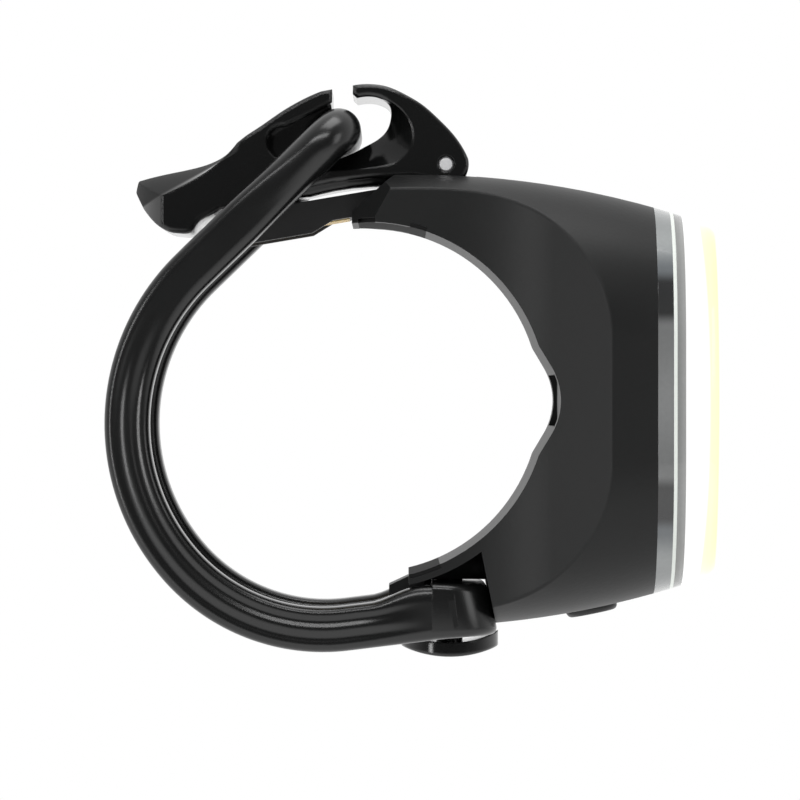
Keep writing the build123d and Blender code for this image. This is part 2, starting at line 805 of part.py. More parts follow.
# Strap: two fluted legs round the handlebar, a round bar for the lever and a buttonhole pad
bar_distance = sqrt((strap_bar_x - strap_ring_x) ** 2 + (strap_bar_z - strap_ring_z) ** 2)
bar_angle = degrees(acos((strap_bar_x - strap_ring_x) / bar_distance))
ring_start_angle = bar_angle + degrees(acos(strap_ring_radius / bar_distance))
ring_start = on_circle(strap_ring_radius, ring_start_angle, strap_ring_x, strap_ring_z)
ring_middle = on_circle(
    strap_ring_radius, (ring_start_angle + strap_ring_end_angle) / 2, strap_ring_x, strap_ring_z
)
ring_end = on_circle(strap_ring_radius, strap_ring_end_angle, strap_ring_x, strap_ring_z)
run_x = strap_bar_x - ring_start[0]
run_z = strap_bar_z - ring_start[1]
run_length = sqrt(run_x**2 + run_z**2)
run_plane = Plane(
    origin=(strap_bar_x, 0, strap_bar_z),
    x_dir=(run_x / run_length, 0, run_z / run_length),
    z_dir=(-run_z / run_length, 0, run_x / run_length),
)
leg_end = strap_bend_radius + strap_neck_length
leg_start = (
    strap_bar_x - leg_end * run_x / run_length,
    strap_bar_z - leg_end * run_z / run_length,
)
heel_lead = strap_ring_end_angle - 270
heel_x = ring_end[0] - strap_heel_radius * sin(radians(heel_lead))
heel_z = ring_end[1] + strap_heel_radius * cos(radians(heel_lead))
heel_low = (heel_x, heel_z - strap_heel_radius)
heel_end = on_circle(strap_heel_radius, strap_heel_angle - 90, heel_x, heel_z)
toe_x = stud_x
toe = (toe_x, heel_end[1] + (toe_x - heel_end[0]) * tan(radians(strap_heel_angle)))
pad_tip_x = lip_wall_x + (lip_top[1] - strap_pad_top_z) * tan(radians(wall_lean_angle)) - seat_gap
pad_low_x = lip_wall_x + (lip_top[1] - strap_pad_tip_z) * tan(radians(wall_lean_angle)) - seat_gap
pad_half_width = strap_leg_y + strap_width / 2 + strap_pad_side

with BuildPart() as strap:
    for side in (-1, 1):
        leg_plane = Plane.XZ.offset(-side * strap_leg_y)
        with BuildLine(leg_plane) as leg_path:
            Line(leg_start, ring_start)
            ThreePointArc(ring_start, ring_middle, ring_end)
            ThreePointArc(ring_end, heel_low, heel_end)
            Line(heel_end, toe)
        section_plane = Plane(
            origin=leg_path.line @ 0, x_dir=(0, side, 0), z_dir=leg_path.line % 0
        )
        with BuildSketch(section_plane) as leg_section:
            RectangleRounded(strap_width, strap_thickness, strap_corner_radius)
            for share in strap_flute_shares:
                flute_y = strap_width / 2 + strap_flute_radius - strap_flute_depth
                with Locations((flute_y, side * share * strap_thickness)):
                    Circle(strap_flute_radius, mode=Mode.SUBTRACT)
        sweep(path=leg_path.line)

        # Neck where the leg turns round, up to the bend into the bar
        neck_plane = Plane(origin=leg_path.line @ 0, x_dir=(0, 1, 0), z_dir=run_plane.x_dir)
        with BuildSketch(neck_plane):
            RectangleRounded(strap_width, strap_thickness, strap_corner_radius)
        with BuildSketch(neck_plane.offset(strap_neck_length)):
            RectangleRounded(2 * strap_bar_radius, 2 * strap_bar_radius, strap_bar_radius - tight_gap)
        loft()

    # Bar across the two legs, with a bend at each end
    with BuildLine(run_plane) as bar_path:
        bend_y = strap_leg_y - strap_bend_radius
        Line((-strap_bend_radius - tight_gap, -strap_leg_y), (-strap_bend_radius, -strap_leg_y))
        RadiusArc((-strap_bend_radius, -strap_leg_y), (0, -bend_y), -strap_bend_radius)
        Line((0, -bend_y), (0, bend_y))
        RadiusArc((0, bend_y), (-strap_bend_radius, strap_leg_y), -strap_bend_radius)
        Line((-strap_bend_radius, strap_leg_y), (-strap_bend_radius - tight_gap, strap_leg_y))
    bar_start = Plane(origin=bar_path.line @ 0, z_dir=bar_path.line % 0)
    with BuildSketch(bar_start):
        Circle(strap_bar_radius)
    sweep(path=bar_path.line)

    # Pad that buttons over the stud
    with BuildSketch(Plane.XZ):
        with BuildLine():
            Polyline(
                (stud_x, strap_pad_bottom_z),
                (strap_pad_start_x, strap_pad_bottom_z),
                (strap_pad_start_x, strap_pad_top_z),
                (pad_tip_x, strap_pad_top_z),
                (pad_low_x, strap_pad_tip_z),
            )
            TangentArc((stud_x, strap_pad_bottom_z), (pad_low_x, strap_pad_tip_z), tangent=(1, 0))
        make_face()
    extrude(amount=pad_half_width, both=True)
    pad_side_edges = strap.faces().filter_by(Axis.Y).edges()
    pad_corners = [
        edge
        for edge in pad_side_edges
        if (edge @ 0.5).X > lip_wall_x and abs((edge % 0.5).Z) > strap_thickness / 2 / edge.length
    ]
    fillet(pad_corners, strap_pad_corner_radius)
    with BuildSketch(Plane.XY.offset(strap_pad_top_z)):
        with Locations((stud_x, 0)):
            Circle(stud_radius + tight_gap)
    extrude(amount=-overrun, mode=Mode.SUBTRACT)
finish(strap, "strap")
print("strap", round(strap.part.volume), len(strap.part.solids()))

# Stud with a dished round head, under the strap's pad
with BuildPart() as strap_stud:
    with BuildSketch(Plane.XZ):
        head_center = (stud_x, head_top_z + head_bend_radius)
        with Locations(head_center):
            Circle(head_bend_radius + head_thickness)
            Circle(head_bend_radius, mode=Mode.SUBTRACT)
    extrude(amount=head_radius + overrun, both=True)
    with BuildSketch(Plane.XY.offset(head_top_z - head_thickness - overrun)):
        with Locations((stud_x, 0)):
            Circle(head_radius)
    extrude(amount=overrun + head_thickness + head_bend_radius, mode=Mode.INTERSECT)
    fillet(strap_stud.edges().group_by(Axis.Z)[0], head_fillet)
    with BuildSketch(Plane.XY.offset(boss_bottom_z)):
        with Locations((stud_x, 0)):
            Circle(stud_radius)
    extrude(amount=head_top_z - head_thickness / 2 - boss_bottom_z)
    with BuildSketch(Plane.XY.offset(boss_bottom_z)):
        with Locations((stud_x, 0)):
            Circle(stud_spigot_radius)
    extrude(amount=stud_spigot_length)
finish(strap_stud, "strap_stud")
print("stud", round(strap_stud.part.volume), len(strap_stud.part.solids()))


# Charging tongue with its side rails
with BuildPart() as usb_tongue:
    with BuildSketch(tongue_plane):
        with Locations((tongue_middle, 0)):
            slab = Rectangle(tongue_length, 2 * tongue_half_width)
        fillet(slab.vertices().group_by(Axis.X)[0], tongue_tip_radius)
    extrude(amount=-tongue_thickness)

    # Side rails with slanted ends, drawn from the side with their depth below the slab's top
    tip_along, slant_along, end_along = (
        place / cos(radians(tongue_angle))
        for place in (tongue_tip_x, rail_end_x - rail_slant, rail_end_x)
    )
    rail_foot = tongue_thickness + rail_height
    for side in (-1, 1):
        rail_plane = Plane(origin=tongue_plane.origin, x_dir=tongue_plane.x_dir, z_dir=(0, 1, 0))
        with BuildSketch(rail_plane.offset(side * rail_y)) as rail_side:
            with BuildLine():
                Polyline(
                    (tip_along, tongue_thickness),
                    (tip_along, rail_foot),
                    (slant_along, rail_foot),
                    (end_along, tongue_thickness),
                    close=True,
                )
            make_face()
            fillet(rail_side.vertices().group_by(Axis.Y)[-1], rail_corner_radius)
        extrude(amount=rail_width / 2, both=True)
finish(usb_tongue, "usb_tongue")
print("tongue", round(usb_tongue.part.volume), len(usb_tongue.part.solids()))

# Gold contacts in the channel between the rails
with BuildPart() as usb_contacts:
    contact_length = (contact_root_x - tongue_tip_x) / cos(radians(tongue_angle)) - contact_tip_gap
    contact_middle = contact_root_x / cos(radians(tongue_angle)) - contact_length / 2
    with BuildSketch(tongue_plane.offset(-tongue_thickness)):
        with Locations((contact_middle, 0)):
            with GridLocations(0, contact_pitch, 1, contact_count):
                Rectangle(contact_length, contact_width)
    extrude(amount=-contact_thickness)
finish(usb_contacts, "usb_contacts")


# Lens frame: the rear band of the clear front, with its spigot in the cavity
with BuildPart() as lens_frame:
    for station in (parting_x, lens_frame_end_x):
        with BuildSketch(Plane.YZ.offset(station)):
            body_section(station, 0)
    loft()
    with BuildSketch(Plane.YZ.offset(parting_x - lens_spigot_length)):
        cavity_section(fit_gap)
    extrude(amount=lens_spigot_length)
    with BuildSketch(Plane.YZ.offset(parting_x - lens_spigot_length)):
        cavity_section(lens_spigot_wall)
    extrude(amount=lens_frame_end_x - parting_x + lens_spigot_length, mode=Mode.SUBTRACT)
finish(lens_frame, "lens_frame")

# Seal between the frame and the cover
with BuildPart() as lens_seal:
    for station in (lens_frame_end_x, lens_seal_end_x):
        with BuildSketch(Plane.YZ.offset(station)):
            body_section(station, 0)
            body_section_hole = section_half(station) - lens_wall
            RectangleRounded(
                2 * body_section_hole,
                2 * body_section_hole,
                body_corner_share * section_half(station) - lens_wall,
                mode=Mode.SUBTRACT,
            )
    loft()
finish(lens_seal, "lens_seal")

# Lens cover: a clear cap with a faintly domed front
with BuildPart() as lens_cover:
    cover_middle_x = (lens_seal_end_x + lens_front_x) / 2
    for station in (lens_seal_end_x, cover_middle_x, lens_front_x):
        with BuildSketch(Plane.YZ.offset(station)):
            body_section(station, 0)
    loft()
    fillet(lens_cover.faces().sort_by(Axis.X)[-1].edges(), lens_front_fillet)
    with Locations((lens_front_x - lens_dome_radius, 0, 0)):
        Sphere(lens_dome_radius, mode=Mode.INTERSECT)
    for station in (lens_seal_end_x - tight_gap, lens_front_x - lens_front_wall):
        with BuildSketch(Plane.YZ.offset(station)):
            body_section(station, lens_wall)
    loft(mode=Mode.SUBTRACT)
finish(lens_cover, "lens_cover")
print("lens", round(lens_cover.part.volume), len(lens_cover.part.solids()))

# Diffuser behind the cover
with BuildPart() as diffuser:
    for station in (reflector_end_x, reflector_end_x + optic_thickness):
        with BuildSketch(Plane.YZ.offset(station)):
            body_section(station, lens_wall + optic_gap)
    loft()
finish(diffuser, "diffuser")

# Reflector: a square funnel round the LEDs
reflector_outer_half = section_half(reflector_end_x) - lens_wall - reflector_wall - reflector_gap
reflector_stations = ((led_x, reflector_inner_half), (reflector_end_x, reflector_outer_half))
with BuildPart() as reflector:
    for station, half in reflector_stations:
        with BuildSketch(Plane.YZ.offset(station)):
            outer = half + reflector_wall
            RectangleRounded(2 * outer, 2 * outer, reflector_corner_share * half + reflector_wall)
    loft()
    for station, half in reflector_stations:
        with BuildSketch(Plane.YZ.offset(station)):
            RectangleRounded(2 * half, 2 * half, reflector_corner_share * half)
    loft(mode=Mode.SUBTRACT)
finish(reflector, "reflector")

# LED board and its LEDs
with BuildPart() as led_board:
    with BuildSketch(Plane.YZ.offset(led_board_x)):
        RectangleRounded(2 * led_board_half, 2 * led_board_half, led_board_corner)
    extrude(amount=led_board_thickness)
finish(led_board, "led_board")

with BuildPart() as leds:
    with BuildSketch(Plane.YZ.offset(led_x)):
        with GridLocations(led_pitch, led_pitch, led_count, led_count):
            Rectangle(led_size, led_size)
    extrude(amount=led_height)
finish(leds, "leds")

# Thermal pad and heat spreader behind the LED board
with BuildPart() as thermal_pad:
    with BuildSketch(Plane.YZ.offset(spreader_x + spreader_thickness)):
        pad_half = led_board_half - thermal_pad_edge
        Rectangle(2 * pad_half, 2 * pad_half)
    extrude(amount=thermal_pad_thickness)
finish(thermal_pad, "thermal_pad")

with BuildPart() as heat_spreader:
    with BuildSketch(Plane.YZ.offset(spreader_x)):
        cavity_section(spreader_edge_gap)
    extrude(amount=spreader_thickness)
    with BuildSketch(Plane.YZ.offset(spreader_x)):
        with GridLocations(post_pitch, post_pitch, 2, 2):
            Circle(standoff_radius)
    extrude(amount=-standoff_height)
    with BuildSketch(Plane.YZ.offset(spreader_x + spreader_thickness)):
        with GridLocations(post_pitch, post_pitch, 2, 2):
            Circle(screw_thread_radius + fit_gap)
    extrude(amount=-(spreader_thickness + standoff_height), mode=Mode.SUBTRACT)
finish(heat_spreader, "heat_spreader")

# Four screws through the spreader and the main board into the posts
with BuildPart() as frame_screws:
    screw_head_x = spreader_x + spreader_thickness
    with BuildSketch(Plane.YZ.offset(screw_head_x)):
        with GridLocations(post_pitch, post_pitch, 2, 2):
            Circle(screw_head_radius)
    extrude(amount=screw_head_height)
    with BuildSketch(Plane.YZ.offset(screw_head_x + screw_head_height)):
        with GridLocations(post_pitch, post_pitch, 2, 2):
            Rectangle(screw_head_radius, screw_slot_width)
            Rectangle(screw_slot_width, screw_head_radius)
    extrude(amount=-screw_head_height / 2, mode=Mode.SUBTRACT)
    with BuildSketch(Plane.YZ.offset(screw_head_x)):
        with GridLocations(post_pitch, post_pitch, 2, 2):
            Circle(screw_thread_radius)
    extrude(amount=-(screw_head_x - post_end_x + screw_depth - fit_gap))
finish(frame_screws, "frame_screws")

# Main board with the socket of the flexible circuit on its back
with BuildPart() as main_board:
    with BuildSketch(Plane.YZ.offset(main_board_x)):
        cavity_section(board_edge_gap)
        with GridLocations(post_pitch, post_pitch, 2, 2):
            Circle(screw_thread_radius + fit_gap, mode=Mode.SUBTRACT)
    extrude(amount=board_thickness)
    with BuildSketch(Plane.YZ.offset(main_board_x)):
        with Locations((0, flex_end_z)):
            Rectangle(2 * (flex_half_width + flex_channel_gap), plug_height)
    extrude(amount=-plug_depth)
finish(main_board, "main_board")

# Battery cell on its foam, and its two leads to the main board
with BuildPart() as battery_cell:
    with BuildSketch(Plane.YZ.offset(battery_x)):
        with Locations((0, battery_center_z)):
            RectangleRounded(2 * battery_half_width, battery_height, battery_corner_radius)
    extrude(amount=battery_thickness)
finish(battery_cell, "battery_cell")

with BuildPart() as battery_foam:
    with BuildSketch(Plane.YZ.offset(cavity_rear_x)):
        with Locations((0, battery_center_z)):
            Rectangle(2 * (battery_half_width - foam_edge), battery_height - 2 * foam_edge)
    extrude(amount=foam_thickness)
finish(battery_foam, "battery_foam")

with BuildPart() as battery_leads:
    lead_x = battery_x + battery_thickness / 2
    lead_low_z = battery_center_z + battery_height / 2
    lead_high_z = lead_low_z + lead_rise
    for lead_y in (-lead_spacing / 2, lead_spacing / 2):
        with BuildLine(Plane.XZ.offset(-lead_y)) as lead_path:
            Line((lead_x, lead_low_z), (lead_x, lead_high_z - lead_bend))
            RadiusArc((lead_x, lead_high_z - lead_bend), (lead_x + lead_bend, lead_high_z), lead_bend)
            Line((lead_x + lead_bend, lead_high_z), (main_board_x, lead_high_z))
        lead_start = Plane(origin=lead_path.line @ 0, z_dir=lead_path.line % 0)
        with BuildSketch(lead_start):
            Circle(lead_radius)
        sweep(path=lead_path.line)
finish(battery_leads, "battery_leads")

# Flexible circuit: along the arm, down behind the main board and into its socket
with BuildPart() as flex_cable:
    with BuildLine(Plane.XZ) as flex_path:
        flex_turn_x = flex_drop_x + flex_bend
        Line((flex_start_x, flex_z), (flex_drop_x, flex_z))
        RadiusArc((flex_drop_x, flex_z), (flex_turn_x, flex_z - flex_bend), flex_bend)
        Line((flex_turn_x, flex_z - flex_bend), (flex_turn_x, flex_end_z + flex_bend))
        RadiusArc(
            (flex_turn_x, flex_end_z + flex_bend), (flex_turn_x + flex_bend, flex_end_z), -flex_bend
        )
        Line((flex_turn_x + flex_bend, flex_end_z), (main_board_x - plug_depth, flex_end_z))
    with BuildSketch(Plane.YZ.offset(flex_start_x)):
        with Locations((0, flex_z)):
            Rectangle(2 * flex_half_width, flex_thickness)
    sweep(path=flex_path.line)
finish(flex_cable, "flex_cable")
print("flex", round(flex_cable.part.volume, 1), len(flex_cable.part.solids()))


# Power button: an oblong cap with a flange and a stem, sliding square to the underside
with BuildPart() as power_button:
    with BuildSketch(button_plane.offset(button_proud)):
        SlotOverall(button_width, button_length)
    extrude(amount=-(button_proud + button_wall + button_gap))
    fillet(power_button.faces().sort_by(button_axis)[-1].edges(), button_edge_fillet)
    with BuildSketch(button_plane.offset(-flange_low)):
        SlotOverall(button_width + 2 * button_flange, button_length + 2 * button_flange)
    extrude(amount=-button_flange_thickness)
    with BuildSketch(button_plane.offset(-flange_low)):
        with Locations((0, button_stem_offset)):
            Circle(button_stem_radius)
    extrude(amount=-button_stem_length)
finish(power_button, "power_button")

# Plunger of the switch, carried by the button's stem
with BuildPart() as switch_plunger:
    with BuildSketch(button_plane.offset(-(flange_low + button_stem_length))):
        with Locations((0, button_stem_offset)):
            Circle(plunger_radius)
    extrude(amount=-plunger_length)
finish(switch_plunger, "switch_plunger")

# Seal plate across the bay, with a hole for the stem
with BuildPart() as button_seal:
    with BuildSketch(button_plane.offset(-seal_depth)):
        SlotOverall(button_width + bay_grow - tight_gap, button_length + bay_grow - tight_gap)
        with Locations((0, button_stem_offset)):
            Circle(button_stem_radius + fit_gap, mode=Mode.SUBTRACT)
    extrude(amount=-seal_thickness)
finish(button_seal, "button_seal")

# Side switch on the main board, with a blind hole for the plunger
with BuildPart() as tactile_switch:
    with BuildSketch(Plane.XY.offset(switch_low_z)):
        with Locations((main_board_x - switch_length / 2, 0)):
            Rectangle(switch_length, switch_width)
    extrude(amount=switch_height)
    with BuildSketch(button_plane.offset(-(flange_low + button_stem_length + tight_gap))):
        with Locations((0, button_stem_offset)):
            Circle(plunger_radius + fit_gap)
    extrude(amount=-(plunger_length + button_travel + fit_gap), mode=Mode.SUBTRACT)
finish(tactile_switch, "tactile_switch")
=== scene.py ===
"""Bike headlight with a silicone strap and a cam lever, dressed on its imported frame.

Sizes are in millimetres and MM turns them into metres. The origin is the centre of the
handlebar, +X is the beam, +Y runs along the handlebar and +Z is up.
"""

from __future__ import annotations

import logging
import math
from collections.abc import Callable
from dataclasses import dataclass, field
from enum import Enum

import bmesh
import bpy
from mathutils import Matrix, Vector

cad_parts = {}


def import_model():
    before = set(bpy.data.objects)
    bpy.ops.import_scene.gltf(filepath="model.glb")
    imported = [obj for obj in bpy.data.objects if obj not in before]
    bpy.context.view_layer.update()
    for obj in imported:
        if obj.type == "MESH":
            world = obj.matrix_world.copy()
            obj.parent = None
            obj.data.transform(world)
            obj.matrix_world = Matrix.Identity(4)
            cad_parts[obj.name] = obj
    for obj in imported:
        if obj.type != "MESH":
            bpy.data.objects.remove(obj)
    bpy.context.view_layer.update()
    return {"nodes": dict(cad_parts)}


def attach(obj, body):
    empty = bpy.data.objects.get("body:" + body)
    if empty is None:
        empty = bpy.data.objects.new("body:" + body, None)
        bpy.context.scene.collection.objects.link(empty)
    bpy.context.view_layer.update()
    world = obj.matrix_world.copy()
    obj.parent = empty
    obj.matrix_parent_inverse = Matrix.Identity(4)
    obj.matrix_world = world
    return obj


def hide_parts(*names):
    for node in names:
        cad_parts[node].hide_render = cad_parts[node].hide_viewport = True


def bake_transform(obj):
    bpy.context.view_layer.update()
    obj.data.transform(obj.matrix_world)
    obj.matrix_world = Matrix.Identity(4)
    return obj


LOG = logging.getLogger("headlight")
MM = 0.001
ACROSS = Vector((0.0, 1.0, 0.0))
BAR_CENTRE = (-2.9, 26.6)
WHITE = (1.0, 1.0, 1.0, 1.0)

Colour = tuple[float, float, float]
Outline = list[tuple[float, float]]
Ramp = tuple[tuple[float, Colour], ...]


class Body(Enum):
    """The bodies that the new pieces ride on."""

    LIGHT = "light_body"
    LEVER = "lever_body"


class Weave(Enum):
    """The patterns that a finish can lay over its colour."""

    GRAIN = "grain"
    BRUSHED = "brushed"
    TRACES = "traces"


def deselect_all() -> None:
    """Clears the selection, in object mode."""
    if bpy.context.mode != "OBJECT":
        bpy.ops.object.mode_set(mode="OBJECT")
    bpy.ops.object.select_all(action="DESELECT")


def make_active(piece: bpy.types.Object) -> None:
    """Selects one object alone, in object mode.

    Args:
        piece: The object to select.
    """
    deselect_all()
    piece.select_set(True)
    bpy.context.view_layer.objects.active = piece


def apply_modifier(piece: bpy.types.Object, kind: str, **values: object) -> None:
    """Adds a modifier and applies it.

    Args:
        piece: The object that takes the modifier.
        kind: The modifier's type.
        **values: The modifier's settings.
    """
    make_active(piece)
    modifier = piece.modifiers.new(kind.title(), kind)
    for name, value in values.items():
        setattr(modifier, name, value)
    bpy.ops.object.modifier_apply(modifier=modifier.name)


def select_edges(piece: bpy.types.Object, test: Callable[[Vector], bool]) -> None:
    """Selects the edges of a piece in edit mode whose middle passes a test.

    Args:
        piece: The piece that is being edited.
        test: Tells whether a place in millimetres is wanted.
    """
    bpy.ops.mesh.select_mode(type="EDGE")
    bpy.ops.mesh.select_all(action="DESELECT")
    mesh = bmesh.from_edit_mesh(piece.data)
    for edge in mesh.edges:
        edge.select_set(test((edge.verts[0].co + edge.verts[1].co) / 2.0 / MM))
    mesh.select_flush_mode()
    bmesh.update_edit_mesh(piece.data)


def smooth_share(value: float, low: float, high: float) -> float:
    """Gives how far a value is from low to high, eased at both ends.

    Args:
        value: The value.
        low: Where the share is 0.
        high: Where the share is 1.

    Returns:
        The share, from 0 to 1.
    """
    share = min(1.0, max(0.0, (value - low) / (high - low)))
    return share * share * (3.0 - 2.0 * share)


class NodeTree:
    """A short way to add nodes and links to a tree."""

    def __init__(self, tree: bpy.types.NodeTree) -> None:
        """Keeps the tree that the nodes go in."""
        self.tree = tree

    def add(self, kind: str, **values: object) -> bpy.types.Node:
        """Adds one node.

        Args:
            kind: The node's type, without its common prefix.
            **values: Its properties.

        Returns:
            The new node.
        """
        node = self.tree.nodes.new("ShaderNode" + kind)
        for name, value in values.items():
            setattr(node, name, value)
        return node

    def link(self, source: bpy.types.NodeSocket, target: bpy.types.NodeSocket) -> None:
        """Joins an output to an input."""
        self.tree.links.new(source, target)

    def feed(self, target: bpy.types.NodeSocket, value: bpy.types.NodeSocket | float) -> None:
        """Sets an input to a number or joins it to an output.

        Args:
            target: The input.
            value: The number, or the output's socket.
        """
        if isinstance(value, float):
            target.default_value = value
        else:
            self.link(value, target)

    def math(
        self,
        operation: str,
        first: bpy.types.NodeSocket | float,
        second: bpy.types.NodeSocket | float,
        clamp: bool = False,
    ) -> bpy.types.NodeSocket:
        """Adds a Math node for two values.

        Args:
            operation: The Math node's operation.
            first: The first value, or its socket.
            second: The second value, or its socket.
            clamp: Whether the result stays between 0 and 1.

        Returns:
            The result's socket.
        """
        node = self.add("Math", operation=operation, use_clamp=clamp)
        self.feed(node.inputs[0], first)
        self.feed(node.inputs[1], second)
        return node.outputs[0]

    def blend(
        self,
        weight: bpy.types.NodeSocket,
        first: bpy.types.NodeSocket | float,
        second: bpy.types.NodeSocket | float,
    ) -> bpy.types.NodeSocket:
        """Goes from one value to another.

        Args:
            weight: The socket of the second value's share.
            first: The value at weight 0, or its socket.
            second: The value at weight 1, or its socket.

        Returns:
            The result's socket.
        """
        node = self.add("Mix", data_type="FLOAT")
        self.link(weight, node.inputs["Factor"])
        self.feed(node.inputs["A"], first)
        self.feed(node.inputs["B"], second)
        return node.outputs["Result"]

    def multiply(
        self, first: bpy.types.NodeSocket, second: bpy.types.NodeSocket
    ) -> bpy.types.NodeSocket:
        """Multiplies two colours.

        Args:
            first: One colour's socket.
            second: The other colour's socket.

        Returns:
            The product's socket.
        """
        node = self.add("Mix", data_type="RGBA", blend_type="MULTIPLY")
        node.inputs["Factor"].default_value = 1.0
        self.link(first, node.inputs["A"])
        self.link(second, node.inputs["B"])
        return node.outputs["Result"]

    def axes(self, place: bpy.types.NodeSocket) -> bpy.types.NodeOutputs:
        """Splits a place.

        Args:
            place: The place's socket.

        Returns:
            The sockets X, Y and Z.
        """
        node = self.add("SeparateXYZ")
        self.link(place, node.inputs[0])
        return node.outputs

    def ramp(
        self, value: bpy.types.NodeSocket, stops: Ramp, unit: float = 1.0
    ) -> bpy.types.NodeSocket:
        """Turns a value into a colour.

        Args:
            value: The value's socket.
            stops: The places of the colours, from the first to the last, with the colours.
            unit: What one unit of the places is worth in the value.

        Returns:
            The colour's socket.
        """
        low, high = stops[0][0], stops[-1][0]
        spread = self.add("MapRange")
        spread.inputs["From Min"].default_value = low * unit
        spread.inputs["From Max"].default_value = high * unit
        self.link(value, spread.inputs["Value"])
        colours = self.add("ValToRGB")
        steps = colours.color_ramp
        steps.interpolation = "EASE"
        while len(steps.elements) < len(stops):
            steps.elements.new(1.0)
        for step, (place, colour) in zip(steps.elements, stops):
            step.position = (place - low) / (high - low)
            step.color = (*colour, 1.0)
        self.link(spread.outputs["Result"], colours.inputs["Fac"])
        return colours.outputs["Color"]


GROUP_INPUTS = (
    ("Place", "NodeSocketVector"),
    ("Colour", "NodeSocketColor"),
    ("Roughness", "NodeSocketFloat"),
    ("Mottle", "NodeSocketFloat"),
    ("Scale", "NodeSocketFloat"),
)
GROUP_OUTPUTS = (
    ("Colour", "NodeSocketColor"),
    ("Roughness", "NodeSocketFloat"),
    ("Height", "NodeSocketFloat"),
)
PATCH_SCALE = 130.0
PATCH_DETAIL = 4.0
PATCH_ON_COLOUR = 4.0
GRAIN_DETAIL = 2.0
GRAIN_ON_COLOUR = 0.12
BRUSH_STRETCH = (1.0, 0.04, 1.0)
TRACE_WIDTH = 0.012
TRACE_LEVELS = (("Color1", 0.0), ("Color2", 0.25), ("Mortar", 1.0))
TRACES_ON_COLOUR = 1.6


def surface_group(weave: Weave) -> bpy.types.NodeTree:
    """Builds the node group of a surface once.

    Args:
        weave: The pattern that the group lays over the colour.

    Returns:
        The group: it mottles a colour and a roughness, and gives the height of the pattern.
    """
    name = f"surface_{weave.value}"
    if name in bpy.data.node_groups:
        return bpy.data.node_groups[name]
    group = bpy.data.node_groups.new(name, "ShaderNodeTree")
    for socket, kind in GROUP_INPUTS:
        group.interface.new_socket(name=socket, in_out="INPUT", socket_type=kind)
    for socket, kind in GROUP_OUTPUTS:
        group.interface.new_socket(name=socket, in_out="OUTPUT", socket_type=kind)
    nodes = NodeTree(group)
    start = group.nodes.new("NodeGroupInput")
    end = group.nodes.new("NodeGroupOutput")
    patches = nodes.add("TexNoise")
    patches.inputs["Scale"].default_value = PATCH_SCALE
    patches.inputs["Detail"].default_value = PATCH_DETAIL
    nodes.link(start.outputs["Place"], patches.inputs["Vector"])
    centred = nodes.math("SUBTRACT", patches.outputs["Fac"], 0.5)
    drift = nodes.math("MULTIPLY", centred, start.outputs["Mottle"])
    rough = nodes.math("ADD", start.outputs["Roughness"], drift, clamp=True)
    nodes.link(rough, end.inputs["Roughness"])
    if weave is Weave.TRACES:
        pattern = nodes.add("TexBrick")
        pattern.inputs["Mortar Size"].default_value = TRACE_WIDTH
        for socket, level in TRACE_LEVELS:
            pattern.inputs[socket].default_value = (level, level, level, 1.0)
        height, weight = pattern.outputs["Color"], TRACES_ON_COLOUR
    else:
        pattern = nodes.add("TexNoise")
        pattern.inputs["Detail"].default_value = GRAIN_DETAIL
        height, weight = pattern.outputs["Fac"], GRAIN_ON_COLOUR
    stretch = nodes.add("Mapping")
    if weave is Weave.BRUSHED:
        stretch.inputs["Scale"].default_value = BRUSH_STRETCH
    nodes.link(start.outputs["Place"], stretch.inputs["Vector"])
    nodes.link(stretch.outputs["Vector"], pattern.inputs["Vector"])
    nodes.link(start.outputs["Scale"], pattern.inputs["Scale"])
    lift = nodes.math("MULTIPLY", nodes.math("SUBTRACT", height, 0.5), weight)
    tone_and_shade = nodes.add("VectorMath", operation="SCALE")
    nodes.link(start.outputs["Colour"], tone_and_shade.inputs[0])
    brighter = nodes.math("ADD", nodes.math("MULTIPLY", drift, PATCH_ON_COLOUR), 1.0)
    nodes.link(nodes.math("ADD", brighter, lift), tone_and_shade.inputs["Scale"])
    nodes.link(tone_and_shade.outputs[0], end.inputs["Colour"])
    nodes.link(height, end.inputs["Height"])
    return group


